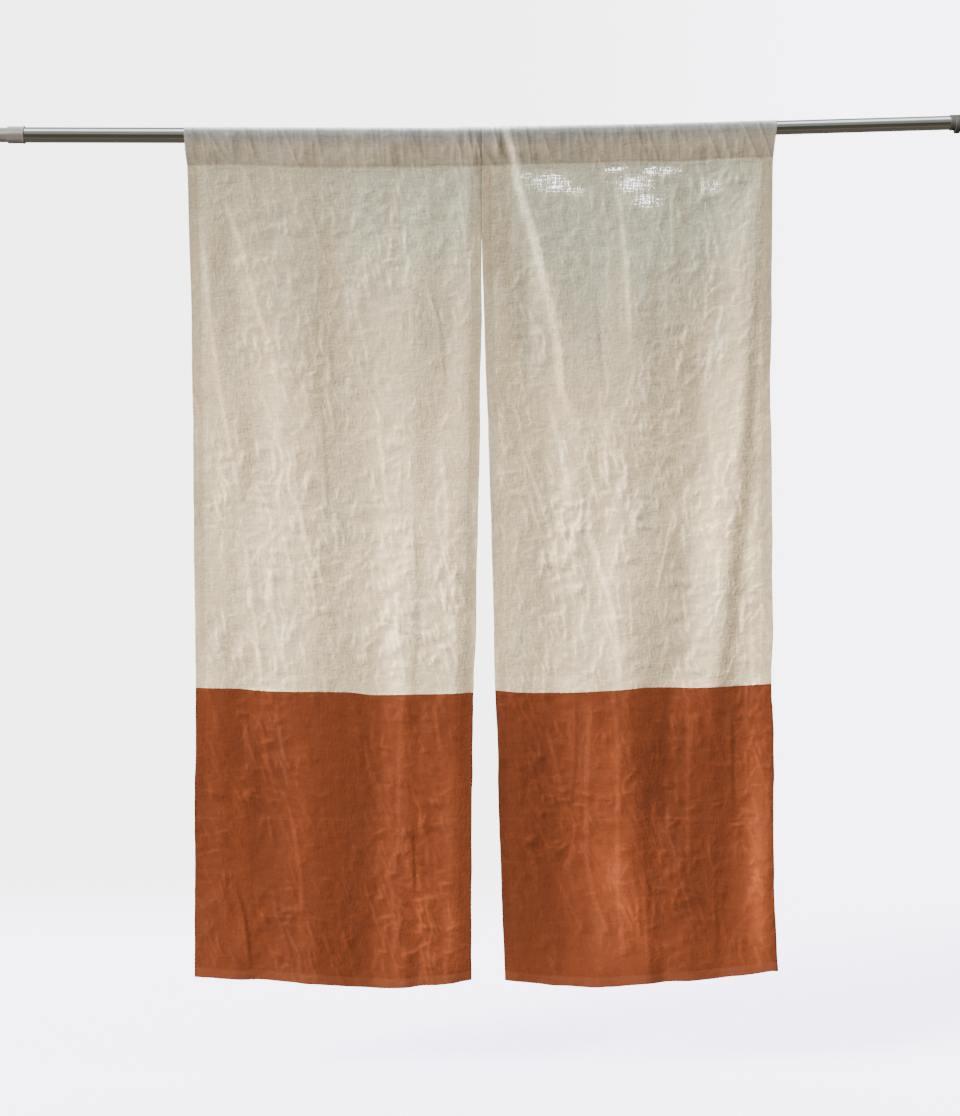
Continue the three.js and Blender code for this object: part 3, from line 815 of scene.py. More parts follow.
# %% Small gathers over the rod, more of them beside the slit
def folded_noise(across, down, seed):
    return np.exp(-np.abs(soft_noise(across, down, seed)) * 2.2)


def gathered(x, drop):
    near_slit = np.exp(-((x - 8) / 45) ** 2)
    wide = folded_noise((x - 0.45 * drop) / 14, drop / 110, 91)
    narrow = folded_noise((x - 0.1 * drop) / 6.0, drop / 60, 95)
    return (0.7 + 1.0 * near_slit) * wide + (0.4 + 0.9 * near_slit) * narrow


# %% [markdown]
# ## Points of the upper cloth
# The sheet of an upper cloth starts at the flap in the pocket, runs over the rod, down the front to
# the colour seam, and ends with the allowance that is turned to the back there.

# %% Lay out the points of an upper cloth
ROW_STEP = 2.15
ALLOWANCE = 9.0
STITCH_DROP = 45
POCKET_CRUMPLE = 0.7
GATHER_DEPTH = 1.1
SEAM_TURN = [
    # below the seam, behind the front
    (0.5, 0.75), (1.2, 1.5), (4, 1.65), (ALLOWANCE, 1.8),
]


def seam_below(panel, share, inset):
    return panel["seam_at"](across_at(panel, share, inset, np.full_like(share, float(SEAM_DROP))))


def upper_points(panel):
    share, inset, behind = columns_across(panel)
    y, z, normal_y, normal_z, loose, drop, stitch = pocket_section(panel, share, inset)
    x = across_at(panel, share, inset, -z)
    ripple = cloth_depth(panel, x, drop) - broad_folds(panel, x, drop)
    ripple = POCKET_CRUMPLE * ripple + GATHER_DEPTH * gathered(x, -z)
    ripple = np.maximum(ripple * loose, -0.1)
    tuck = tucked(panel, share, inset, drop)
    shift = ripple - 0.4 * behind + np.where(loose == 0, 1.2, -0.95) * tuck
    pocket = np.stack([x, y + normal_y * shift, z + normal_z * shift], -1)

    seam = seam_below(panel, share, inset)
    count = int(round((SEAM_DROP - STITCH_DROP) / ROW_STEP))
    turn_down, turn_back = np.array(SEAM_TURN).T[:, :, None]
    drop = np.concatenate([stitch + (seam - stitch) * np.linspace(0, 1, count + 1)[:, None],
                           seam + turn_down])
    back = np.concatenate([np.zeros((count + 1, 1)), turn_back])
    x = across_at(panel, share, inset, drop)
    pulled = 0.5 * np.exp(-((drop - stitch) / 1.6) ** 2)
    y = -cloth_depth(panel, x, drop) + pulled + back + behind * HEM_GAP
    below_stitches = smooth_step(drop - stitch, 0, 14)
    y = y + (1 + (TUCK_DEPTH - 1) * below_stitches) * tucked(panel, share, inset, drop)
    return np.concatenate([pocket, np.stack([x, y, -drop], -1)])


# %% [markdown]
# ## Points of the lower cloth
# A lower cloth starts with its own allowance behind the seam and ends with its bottom hem, turned up
# at the back as the side hems are turned in.

# %% Lay out the points of a lower cloth
BOTTOM_DROP = 1215
LOWER_LENGTH = 1220 - 802
BACK_GAP = 0.75
LOWER_TOP = [
    # below the seam, share of the way behind the front
    (ALLOWANCE, 1), (4, 1), (0.8, 1), (0.1, 0.8), (-0.1, 0.4), (0.15, 0.1),
]
BOTTOM_TURN = [
    # above the bottom edge, share of the way behind the front
    (0.15, 0.1), (0, 0.45), (0.12, 0.8), (0.8, 1), (3.5, 1), (7, 1), (10.5, 1), (BOTTOM_HEM, 1),
]


def lower_points(panel):
    share, inset, behind = columns_across(panel)
    seam = seam_below(panel, share, inset) + 0.3
    at_bottom = across_at(panel, share, inset, np.full_like(share, float(BOTTOM_DROP)))
    bottom = panel["bottom_at"](at_bottom) + 0.3 * soft_noise(share * 30, share * 0, 61)
    top_down, top_back = np.array(LOWER_TOP, float).T[:, :, None]
    turn_up, turn_back = np.array(BOTTOM_TURN, float).T[:, :, None]
    count = int(round(LOWER_LENGTH / ROW_STEP))
    middle = seam + 0.6 + (bottom - seam - 1.2) * np.linspace(0, 1, count + 1)[:, None]
    drop = np.concatenate([seam + top_down, middle, bottom - turn_up])
    back = np.concatenate([top_back, np.zeros((count + 1, 1)), turn_back])
    x = across_at(panel, share, inset, drop)
    y = -cloth_depth(panel, x, drop) + back * BACK_GAP + behind * HEM_GAP
    return np.stack([x, y, -drop], -1)


# %% [markdown]
# ## From points to a mesh
# The grid becomes a mesh of quads. Its UV map is the flat cut in metres, measured along the cloth,
# so a thread in the finish is as wide on a fold as it is on the flat.

# %% Make a sheet from a grid of points
def new_piece(name, points, faces):
    mesh = bpy.data.meshes.new(name)
    mesh.from_pydata((points.reshape(-1, 3) * MM).tolist(), [], faces.tolist())
    piece = bpy.data.objects.new(name, mesh)
    bpy.context.scene.collection.objects.link(piece)
    return piece


def make_sheet(name, points):
    rows, columns = points.shape[:2]
    flat_u, flat_v = (
        np.concatenate([[0], np.cumsum(np.linalg.norm(np.diff(points, axis=along), axis=2).mean(1 - along))])
        for along in (1, 0))
    index = np.arange(rows * columns).reshape(rows, columns)
    quads = np.stack([index[:-1, :-1], index[1:, :-1], index[1:, 1:], index[:-1, 1:]], -1).reshape(-1, 4)
    sheet = new_piece(name, points, quads)
    uv = np.stack(np.meshgrid(flat_u, flat_v), -1).reshape(-1, 2) * MM
    layer = sheet.data.uv_layers.new(name="cloth")
    layer.uv.foreach_set("vector", uv[quads.reshape(-1)].astype(np.float32).ravel())
    sheet.data.shade_smooth()
    size = (round(float(flat_u[-1]) * MM, 3), round(float(flat_v[-1]) * MM, 3))
    print(name, len(quads), "quads, flat size in metres", size)
    return sheet, size


sheets = {}
cloth_points = {}
for panel in (LEFT_PANEL, RIGHT_PANEL):
    for level, points in (("upper", upper_points(panel)), ("lower", lower_points(panel))):
        key = panel["name"] + "_" + level
        cloth_points[key] = points
        sheets[key] = make_sheet(key + "_cloth", points)

# %% [markdown]
# ## Where the cloth is dark, green or open
# Dye, layers and painted light and shade change a cloth slowly from place to place, which a noise
# can't aim. They could be painted on an image, but a value on every vertex needs none and follows
# the cloth in every fold. Six are stored: "tone" darkens or lightens, partly as painted shade and
# painted light, "streak" is the painted highlight on a crease's flank, "pressed" marks the
# flat hems and the pocket, "cool" is the share of the green that thin cloth takes from what stands
# behind it, "crown" is the painted highlight on the top of the pocket, and "open" is a mask
# for the loose weave.

# %% Store values on every vertex
def store(sheet, **values):
    for name, numbers in values.items():
        attribute = sheet.data.attributes.new(name, "FLOAT", "POINT")
        attribute.data.foreach_set("value", np.ascontiguousarray(numbers, dtype=np.float32).ravel())


# %% [markdown]
# ## The painted highlight of a crease
# Linen is thin, so a flank that faces the window glows a little more than a plain shader shows. That
# glow is a painted highlight, and the slope of the relief towards the window, across and down, says
# how much.

# %% Slope of the relief towards the window
WINDOW_ACROSS = 0.8
WINDOW_DOWN = 0.5


def towards_window(panel, x, drop, step=1.2):
    across = relief(panel, x + step, drop) - relief(panel, x - step, drop)
    down = relief(panel, x, drop + step) - relief(panel, x, drop - step)
    return (WINDOW_ACROSS * across + WINDOW_DOWN * down) / (2 * step)


# The broad folds' slope, which sets the painted light and shade on them
def fold_slope(panel, x, drop):
    return (broad_folds(panel, x + 2, drop) - broad_folds(panel, x - 2, drop)) / 4


# %% [markdown]
# ## Painted stripes of light and shade
# The folds' light and shade are painted as soft light and dark stripes. Each row is one of them: how
# much it lightens or darkens, half its width, and the line that it runs down.

# %% Soft stripes of painted light and shade: gain, half width, and (across, drop) places
LEFT_SHADE_STRIPES = [
    (0.20, 22, [(-352, 60), (-346, 250), (-350, 680)]),
    (0.16, 20, [(-300, 330), (-296, 500), (-292, 700)]),
    (0.16, 24, [(-97, 90), (-94, 400), (-94, 780)]),
    (0.10, 24, [(-200, 60), (-195, 400), (-195, 790)]),
    (-0.10, 16, [(-402, 420), (-400, 790)]),
    (-0.14, 18, [(-397, 820), (-397, 1225)]),
    (0.22, 18, [(-345, 900), (-343, 1225)]),
    (-0.16, 24, [(-298, 840), (-292, 1225)]),
    (-0.08, 24, [(-172, 806), (-172, 1225)]),
    (0.24, 16, [(-45, 860), (-43, 1225)]),
    (0.28, 13, [(-92, 806), (-95, 960), (-97, 1225)]),
    (0.14, 20, [(-180, 560), (-178, 760)]),
    (0.14, 14, [(-94, 470), (-94, 790)]),
    (-0.12, 13, [(-325, 860), (-325, 1120)]),
    (0.12, 20, [(-255, 860), (-250, 1080)]),
    (-0.12, 3.5, [(-15.5, 46), (-15.5, 180)]),
    (0.12, 3, [(-6, 46), (-6, 150)]),
    (-0.11, 9, [(-6, 190), (-10, 500)]),
    (0.13, 9, [(-25, 830), (-27, 1225)]),
    (-0.24, 12, [(-94, -14), (-90, 32)]),
    (0.18, 13, [(-182, -14), (-180, 44)]),
    (-0.20, 10, [(-123, 8), (-123, 44)]),
    (0.14, 16, [(-222, 4), (-222, 44)]),
    (-0.14, 12, [(-412, -14), (-412, 44)]),
    (-0.14, 14, [(-322, 920), (-322, 1080)]),
    (0.12, 14, [(-412, 1080), (-412, 1225)]),
    (0.30, 22, [(-82, 1060), (-82, 1225)]),
    (0.22, 16, [(-36, 1100), (-38, 1225)]),
    (0.16, 14, [(-94, 70), (-94, 240)]),
    (-0.12, 16, [(-94, 220), (-94, 460)]),
    (0.10, 28, [(-318, 140), (-316, 420)]),
    (-0.12, 14, [(-412, 60), (-412, 110)]),
    (0.10, 12, [(-40, 440), (-38, 790)]),
    (0.19, 3.5, [(-19, 40), (-22, 75), (-21, 165)]),
]
# Painted light and shade along the folds of the right panel
RIGHT_SHADE_STRIPES = [
    (0.35, 7, [(44, 20), (52, 60), (66, 110), (80, 180), (95, 250)]),
    (-0.10, 20, [(34, 60), (40, 420), (44, 700)]),
    (-0.22, 17, [(24, 30), (24, 230)]),
    (-0.22, 19, [(92, 240), (90, 500), (86, 790)]),
    (0.10, 20, [(140, 380), (137, 600)]),
    (0.15, 20, [(185, 400), (190, 700)]),
    (-0.12, 22, [(238, 150), (240, 620)]),
    (-0.34, 22, [(292, 560), (290, 700), (288, 798)]),
    (0.20, 13, [(346, 590), (346, 760)]),
    (0.22, 12, [(350, 60), (346, 190)]),
    (-0.14, 18, [(345, 90), (335, 260)]),
    (0.18, 18, [(392, 90), (390, 380)]),
    (0.16, 16, [(352, 420), (340, 640)]),
    (-0.20, 18, [(392, 620), (392, 798)]),
    (0.42, 26, [(186, 806), (190, 950), (198, 1060), (226, 1140), (238, 1225)]),
    (0.12, 20, [(238, 900), (238, 1225)]),
    (-0.24, 46, [(285, 806), (300, 1200)]),
    (0.24, 14, [(398, 810), (398, 1190)]),
    (-0.14, 30, [(92, 810), (95, 1000), (120, 1225)]),
    (0.25, 18, [(250, 960), (256, 1050), (262, 1225)]),
    (0.32, 24, [(185, 1020), (190, 1225)]),
    (0.36, 12, [(402, 960), (402, 1215)]),
    (-0.10, 16, [(58, 806), (62, 1225)]),
    (0.16, 20, [(325, 900), (322, 1225)]),
    (-0.16, 14, [(29, 806), (33, 1225)]),
    (0.22, 12, [(172, 960), (176, 1225)]),
    (-0.13, 13, [(203, 806), (203, 1060)]),
    (0.18, 13, [(402, 880), (404, 1225)]),
    (-0.14, 13, [(60, 60), (64, 380)]),
    (0.14, 15, [(140, 260), (146, 470)]),
    (-0.11, 14, [(203, 180), (205, 780)]),
    (-0.10, 20, [(303, 260), (303, 540)]),
    (0.12, 12, [(374, 300), (374, 560)]),
    (-0.20, 12, [(400, 420), (402, 620)]),
    (0.55, 5.5, [(33, -12), (40, 8), (49, 32), (55, 48)]),
    (-0.34, 6, [(23, -12), (28, 10), (37, 30), (44, 44)]),
    (-0.20, 9, [(58, -10), (70, 16), (84, 44)]),
    (0.18, 9, [(82, 8), (92, 44)]),
    (-0.22, 28, [(128, -14), (130, 26)]),
    (-0.08, 40, [(120, 4), (120, 44)]),
    (-0.24, 12, [(231, -14), (231, 44)]),
    (0.26, 8, [(404, 36), (390, 80), (372, 132), (364, 160), (357, 222)]),
    (-0.08, 12, [(388, 150), (384, 260)]),
    (-0.14, 4, [(7, 200), (13, 375), (16.5, 480), (20, 590), (25, 790)]),
    (-0.14, 7.5, [(412, 200), (412, 420), (413, 600), (412, 798)]),
    (-0.06, 3, [(410, 200), (410, 790)]),
    (-0.10, 5, [(28, 806), (30.5, 870), (35, 1045), (42.5, 1225)]),
    (0.22, 14, [(375, 340), (375, 640)]),
    (-0.18, 16, [(317, 330), (317, 520)]),
    (-0.24, 18, [(118, 640), (130, 790)]),
    (0.26, 15, [(173, 560), (178, 790)]),
    (-0.20, 14, [(58, 170), (60, 330)]),
    (-0.05, 4, [(19, 560), (25, 790)]),
]


# Painted light and shade: each stripe lightens or darkens the cloth along its line
def stripe_shade(shade_stripes, x, drop):
    tone = np.ones(x.shape)
    for gain, half_width, places in shade_stripes:
        across, drops = zip(*places)
        line, top, bottom = curve_through(drops, across), drops[0], drops[-1]
        fade = 0.25 * (bottom - top)
        along = smooth_step(drop, top - fade * 0.3, top + fade)
        along = along * (1 - smooth_step(drop, bottom - fade, bottom + 5))
        tone = tone * (1 + gain * along * np.exp(-((x - line(drop)) / half_width) ** 2))
    return tone


print("placed stripes:", len(LEFT_SHADE_STRIPES), "left,", len(RIGHT_SHADE_STRIPES), "right")

# %% [markdown]
# ## How light the natural linen hangs
# The cloth is darker near the rod, where less light reaches it, and lighter towards the seam. The
# hems are two layers and let less light through, and over the seam's allowance the cloth is lighter.

# %% Tone and coolness of the upper cloth, below the pocket
DOWN_TONE = [(40, 0.60), (60, 0.62), (120, 0.68), (220, 0.78), (340, 0.92),
             (450, 1.05), (560, 1.15), (700, 1.18), (800, 1.16)]
DOWN_COOL = [(45, 1.0), (110, 0.85), (220, 0.45), (400, 0.0)]
HEM_TONE = [(50, -0.10), (250, -0.13), (500, -0.11), (800, -0.10)]
THREAD_LINES = [
    # drop, across, half length and gain of a slack weft thread
    (241, 172, 26, 0.16), (619, 303, 22, 0.12),
]


def upper_cool(panel, x, drop):
    cool = between_rows(DOWN_COOL, drop)
    if panel["name"] == "left":
        return cool * (0.45 + 0.5 * smooth_step(x, -300, -80))
    return cool * (0.45 + 0.9 * right_middle(x)) * (0.6 + 0.4 * smooth_step(x, 42, 54))


def right_middle(x):
    return np.exp(-((x - 210) / 175) ** 4)


def upper_tone(panel, shade_stripes, x, drop, inside, hem, cool):
    tone = between_rows(DOWN_TONE, drop)
    if panel["name"] == "right":
        tone = tone * (1 - 0.08 * right_middle(x) * cool)
        lines = sum(gain * np.exp(-((drop - down) / 1.1) ** 2 - ((x - across) / half_length) ** 4)
                    for down, across, half_length, gain in THREAD_LINES)
        tone = tone * (1 + lines)
    beside_hem = np.exp(-((inside - 22) / 6) ** 4) * (1 - smooth_step(drop, 500, 700))
    over_seam = smooth_step(drop - panel["seam_at"](x), -2.4, -1.2)
    # Painted light on the fold flanks that face the window, painted shade on those that face away
    slope = fold_slope(panel, x, drop) * smooth_step(drop, 60, 200)
    tone = tone * stripe_shade(shade_stripes, x, drop) * (1 + hem * between_rows(HEM_TONE, drop))
    return tone * (1 + 0.07 * beside_hem) * (1 + 0.75 * over_seam) * (1 + 0.3 * slope)


# %% [markdown]
# ## The pocket's shade
# The front of the pocket is two layers with the rod behind it, so it is darker. Its painted shade
# changes with the height over the rod: darkest about level with the rod's middle, a little lighter
# down at the stitches, and a painted highlight up on the top, which faces the light above. Each gather
# gets a painted light flank and a painted dark one.

# %% Painted shade and top highlight of the pocket
POCKET_ROWS = len(FLAP_ROWS) + 2 * (FLANK_STEPS - 1) + ARC_STEPS
POCKET_TONE = [(-34, 0.64), (-20, 0.61), (-10, 0.50), (-1, 0.41), (3.4, 0.385), (4.8, 0.43), (6.3, 0.54),
               (7.7, 0.78), (9.2, 1.12), (10.6, 1.5), (12, 1.8)]
TOP_HIGHLIGHT_ROWS = [(-34, 0.12), (-14, 0.2), (-5.6, 0.42), (0, 0.65), (4, 0.9), (8, 1.0)]


def pocket_tone(shade_stripes, x, drop):
    # Painted light and shade on the flanks of the gathers
    gather = np.clip(1 + 1.1 * (gathered(x + 1, drop) - gathered(x - 1, drop)) / 2, 0.72, 1.45)
    # Painted shade and highlight by the height over the rod
    fold = between_rows(POCKET_TONE, -drop - rod_height(x))
    return 0.94 * fold * gather * stripe_shade(shade_stripes, x, drop)


def pocket_crown(x, drop):
    # Painted highlight on the top of the pocket, which faces the light above
    crown = between_rows(TOP_HIGHLIGHT_ROWS, -drop - rod_height(x))
    crown[:len(FLAP_ROWS)] = 0
    crown[POCKET_ROWS:] = 0
    return crown


# %% [markdown]
# ## Where the weave is open
# Near the top of the right panel a few patches are so loosely woven that light shines through. They
# are soft ovals here, and the finish breaks them up along its threads.

# %% Mask of the open places
OPEN_PLACES = [
    # across, drop, half width, half height, strength
    (66, 58, 15, 9, 1.0), (100, 68, 50, 22, 0.97), (136, 80, 28, 13, 0.95), (196, 46, 30, 12, 0.95),
    (224, 70, 44, 26, 0.95), (240, 94, 40, 17, 0.95), (262, 50, 46, 13, 0.95), (334, 70, 24, 18, 0.9),
]


def open_weave(panel, x, drop):
    opening = np.zeros(x.shape)
    if panel["name"] == "right":
        for across, down, half_wide, half_tall, strength in OPEN_PLACES:
            far = np.hypot((x - across) / half_wide, (drop - down) / half_tall)
            opening = np.maximum(opening, strength * (1 - smooth_step(far, 0.4, 1.3)))
    opening[:POCKET_ROWS + 2] = 0
    return opening


# %% [markdown]
# ## Paint the upper cloths
# The tones above are put together: hanging cloth, pocket, open places and a painted shadow along the
# edge that is tucked behind the other panel.

# %% Paint the upper cloths
def paint_upper(panel, shade_stripes, sheet, points):
    x, drop = points[..., 0], -points[..., 2]
    share, inset, _ = columns_across(panel)
    inside = np.minimum(x - panel["left_at"](drop), panel["right_at"](drop) - x)
    hem = 1 - smooth_step(inside, HEM - 1.6, HEM - 0.4)
    pocket = np.zeros(x.shape)
    pocket[:POCKET_ROWS] = 1
    cool = upper_cool(panel, x, drop)
    opening = open_weave(panel, x, drop)
    hanging = upper_tone(panel, shade_stripes, x, drop, inside, hem, cool)
    tone = np.where(pocket > 0, pocket_tone(shade_stripes, x, drop), hanging)
    # Painted shadow along the edge that is tucked behind the other panel
    tuck_shadow = tucked(panel, share, inset, drop) * (1 - smooth_step(inside, 0.5, 3.0))
    # Painted highlight on crease flanks that face the window
    glow = np.clip(1.15 * towards_window(panel, x, drop), -0.09, 0.36)
    store(sheet,
          streak=(1 - 0.6 * pocket) * (1 - 0.5 * hem) * glow,
          tone=tone * (1 + 0.18 * opening) * (1 - 0.6 * tuck_shadow),
          pressed=np.maximum(pocket, 0.5 * hem),
          cool=np.clip(np.where(pocket > 0, 0.1, cool * (1 - 0.4 * hem)), 0, 1),
          crown=pocket_crown(x, drop),
          open=opening)


# %% [markdown]
# ## Paint the lower cloths
# The rust linen is denser, so its folds show as shade and its creases get less painted highlight.
# Painted light lifts the fold flanks that fall steeply away from the window, and the last two
# millimetres of each side are darker. Its hem is lighter, a painted shadow darkens the turned edge at
# the seam, and one weft thread runs lighter right across both panels.

# %% Paint the lower cloths
PALE_WEFT = 985.4


def paint_lower(panel, shade_stripes, sheet, points):
    x, drop = points[..., 0], -points[..., 2]
    inside = np.minimum(x - panel["left_at"](drop), panel["right_at"](drop) - x)
    below_stitches = drop - (panel["bottom_at"](x) - BOTTOM_HEM)
    hem = smooth_step(below_stitches, -0.5, 0.5)
    below_seam = drop - panel["seam_at"](x)
    # Painted light lifts the fold flanks that fall steeply away from the window
    tone = 0.89 * (1 + 0.8 * np.maximum(-fold_slope(panel, x, drop) - 0.12, 0)) * stripe_shade(shade_stripes, x, drop)
    tone = tone * (1 - 0.4 * (1 - smooth_step(inside, 0.6, 2.4)))
    # Lighter hem, and a painted shadow along the turned edge at the seam
    tone = tone * (1 + 0.10 * hem) * (1 - 0.25 * (1 - smooth_step(below_seam, 1.0, 2.2)))
    weft = np.exp(-((drop - PALE_WEFT - 0.8 * soft_noise(x / 40, x * 0, 77)) / 1.1) ** 2)
    tone = tone * (1 + 0.16 * weft * np.clip(soft_noise(x / 22, x * 0, 78) + 0.6, 0, 1.5))
    # Painted highlight on crease flanks that face the window, weaker on the rust
    glow = np.clip(0.9 * towards_window(panel, x, drop), -0.09, 0.2)
    store(sheet, streak=(1 - 0.5 * hem) * glow, tone=tone,
          pressed=hem * 0.5, cool=hem * 0.4, crown=hem * 0, open=hem * 0)


for panel, shade_stripes in ((LEFT_PANEL, LEFT_SHADE_STRIPES), (RIGHT_PANEL, RIGHT_SHADE_STRIPES)):
    for level, paint in (("upper", paint_upper), ("lower", paint_lower)):
        key = panel["name"] + "_" + level
        paint(panel, shade_stripes, sheets[key][0], cloth_points[key])
print("painted", len(sheets), "sheets")

# %% [markdown]
# ## Finishes from nodes
# A finish is a small graph of nodes. These helpers add one node, set its values and link its inputs,
# so that each recipe below reads as a list of steps. The last two are a weighted sum and a noise that
# is stretched into threads.

# %% Helpers for node recipes
def new_finish(name):
    material = bpy.data.materials.new(name)
    material.use_nodes = True
    material.node_tree.nodes.clear()
    return material, material.node_tree


def plug(tree, value, socket):
    if isinstance(value, bpy.types.NodeSocket):
        tree.links.new(value, socket)
    else:
        socket.default_value = value


def add(tree, kind, inputs=None, **settings):
    node = tree.nodes.new(kind)
    for key, value in settings.items():
        setattr(node, key, value)
    for key, value in (inputs or {}).items():
        plug(tree, value, node.inputs[key])
    return node


def calc(tree, operation, *values, clamp=False):
    node = add(tree, "ShaderNodeMath", dict(enumerate(values)), operation=operation, use_clamp=clamp)
    return node.outputs[0]


def blend_colour(tree, mode, factor, first, second):
    node = add(tree, "ShaderNodeMix", data_type="RGBA", blend_type=mode)
    for value, place in ((factor, 0), (first, 6), (second, 7)):
        plug(tree, value, node.inputs[place])
    return node.outputs[2]


def weighted(tree, *terms):
    total = 0.0
    for value, weight in terms:
        total = calc(tree, "ADD", total, calc(tree, "MULTIPLY", value, weight))
    return total


def threads(tree, uv, scale, detail=2.0, seed=0.0):
    stretch = add(tree, "ShaderNodeMapping", {
        "Vector": uv, "Scale": (*scale, 1), "Location": (seed, seed, 0)})
    noise = add(tree, "ShaderNodeTexNoise", {
        "Vector": stretch.outputs[0], "Scale": 1.0, "Detail": detail, "Roughness": 0.6},
        noise_dimensions="2D")
    return noise.outputs[0]


# %% [markdown]
# ## The colour of linen
# Linen yarn is uneven: here and there a thread swells into a slub that runs on for centimetres. One
# pair of noises, stretched along the warp and the weft, draws the yarn, and a second pair the slubs.
# The stored values then tint the cloth, painted shade and highlights included. The painted highlight
# of the creases is broken up by the threads, because a smooth streak would look like a brush stroke.

# %% Yarn and colour
def stored(tree, name):
    return add(tree, "ShaderNodeAttribute", attribute_name=name).outputs["Fac"]


def yarn_and_slubs(tree, uv):
    yarn = calc(tree, "ADD", threads(tree, uv, (700, 14), seed=1.0), threads(tree, uv, (14, 700), seed=5.0))
    slubs = calc(tree, "ADD", threads(tree, uv, (300, 75), 3.0, 3.0), threads(tree, uv, (75, 300), 3.0, 8.0))
    return yarn, slubs


def linen_colour(tree, uv, yarn, slubs, base, cool, highlight_colour, contrast):
    patches = threads(tree, uv, (16, 9), 3.0, 9.0)
    tone = weighted(tree, (yarn, 0.22), (slubs, 0.5), (patches, 0.35))
    tone = calc(tree, "MULTIPLY", calc(tree, "SUBTRACT", tone, 0.895), contrast)
    tone = calc(tree, "MULTIPLY", calc(tree, "ADD", tone, 1.0), stored(tree, "tone"))
    # The painted crease highlight, broken up by the threads
    broken = calc(tree, "SUBTRACT", threads(tree, uv, (380, 150), seed=21.0), 0.27)
    broken = calc(tree, "MAXIMUM", calc(tree, "MULTIPLY", broken, 4.3), 0.1)
    streaks = calc(tree, "MULTIPLY", stored(tree, "streak"), broken)
    tone = calc(tree, "MULTIPLY", tone, calc(tree, "ADD", streaks, 1.0))
    varied = calc(tree, "SUBTRACT", threads(tree, uv, (30, 7), seed=17.0), 0.5)
    varied = calc(tree, "MULTIPLY", varied, 1.1)
    coolness = calc(tree, "ADD", stored(tree, "cool"), varied, clamp=True)
    colour = blend_colour(tree, "MIX", coolness, base, cool)
    # The painted highlight's colour on the top of the pocket
    colour = blend_colour(tree, "MIX", stored(tree, "crown"), colour, highlight_colour)
    grey = add(tree, "ShaderNodeCombineColor", {0: tone, 1: tone, 2: tone}).outputs[0]
    return blend_colour(tree, "MULTIPLY", 1.0, colour, grey)


# %% [markdown]
# ## The feel of linen
# Yarn, slubs and hair-fine wrinkles stand less than a tenth of a millimetre high, too low for the
# mesh, so they are bump. A wrinkle is the zero line of a noise, and a slow wander bends it.

# %% Bump of yarn, slubs and hair-fine wrinkles
def ridges(tree, place, scale, seed):
    folded = calc(tree, "ABSOLUTE", calc(tree, "SUBTRACT", threads(tree, place, scale, 1.0, seed), 0.5))
    return calc(tree, "SUBTRACT", 1.0, calc(tree, "MULTIPLY", folded, 5.0), clamp=True)


def linen_bump(tree, uv, yarn, slubs, strength):
    wander = add(tree, "ShaderNodeMapping", {"Vector": uv, "Scale": (70, 45, 1)}).outputs[0]
    wander = add(tree, "ShaderNodeTexNoise", {"Vector": wander, "Scale": 1.0, "Detail": 1.0},
                 noise_dimensions="2D").outputs[1]
    shifted = add(tree, "ShaderNodeVectorMath", {0: wander, 1: (0.006, 0.003, 0)}, operation="MULTIPLY")
    place = add(tree, "ShaderNodeVectorMath", {0: uv, 1: shifted.outputs[0]}, operation="ADD").outputs[0]
    wrinkles = weighted(tree, (ridges(tree, place, (150, 60), 2.0), 0.30),
                        (ridges(tree, place, (60, 150), 4.0), 0.26))
    loose = calc(tree, "SUBTRACT", 1.0, calc(tree, "MULTIPLY", stored(tree, "pressed"), 0.7))
    wrinkles = calc(tree, "MULTIPLY", wrinkles, loose)
    height = weighted(tree, (wrinkles, 1.0), (yarn, 0.05), (slubs, 0.14))
    bump = add(tree, "ShaderNodeBump", {"Strength": 1.0, "Distance": 0.001 * strength, "Height": height})
    return bump.outputs[0]


# %% [markdown]
# ## Linen that light passes through
# Light also comes through the cloth from behind, so part of the shader is translucent. In the open
# places the gaps between the threads are clear.

# %% The linen finish
def loose_weave(tree, uv):
    dots = threads(tree, uv, (430, 620), 1.0, 12.0)
    weft, warp = threads(tree, uv, (45, 560), 1.0, 14.0), threads(tree, uv, (520, 45), 1.0, 15.0)
    lines = calc(tree, "ADD", weft, warp)
    gap = calc(tree, "SUBTRACT", weighted(tree, (dots, 0.36), (lines, 0.33)), 0.2)
    gap = calc(tree, "MULTIPLY", gap, stored(tree, "open"))
    closed, clear, clearest = 0.325, 0.39, 0.8
    return add(tree, "ShaderNodeMapRange", {0: gap, 1: closed, 2: clear, 3: 0.0, 4: clearest}).outputs[0]


def linen(name, base, cool, highlight_colour, glow, through, contrast, strength):
    material, tree = new_finish(name)
    uv = add(tree, "ShaderNodeUVMap", uv_map="cloth").outputs[0]
    yarn, slubs = yarn_and_slubs(tree, uv)
    colour = linen_colour(tree, uv, yarn, slubs, base, cool, highlight_colour, contrast)
    bump = linen_bump(tree, uv, yarn, slubs, strength)
    surface = add(tree, "ShaderNodeBsdfPrincipled", {
        "Base Color": colour, "Roughness": 0.92, "Normal": bump,
        "Specular IOR Level": 0.1, "Sheen Weight": 0.05, "Sheen Roughness": 0.5})
    shine = blend_colour(tree, "MULTIPLY", 1.0, colour, glow)
    lit = add(tree, "ShaderNodeBsdfTranslucent", {"Color": shine, "Normal": bump})
    cloth = add(tree, "ShaderNodeMixShader", {0: through, 1: surface.outputs[0], 2: lit.outputs[0]})
    clear = add(tree, "ShaderNodeBsdfTransparent")
    worn = add(tree, "ShaderNodeMixShader", {
        0: loose_weave(tree, uv), 1: cloth.outputs[0], 2: clear.outputs[0]})
    add(tree, "ShaderNodeOutputMaterial", {"Surface": worn.outputs[0]})
    return material


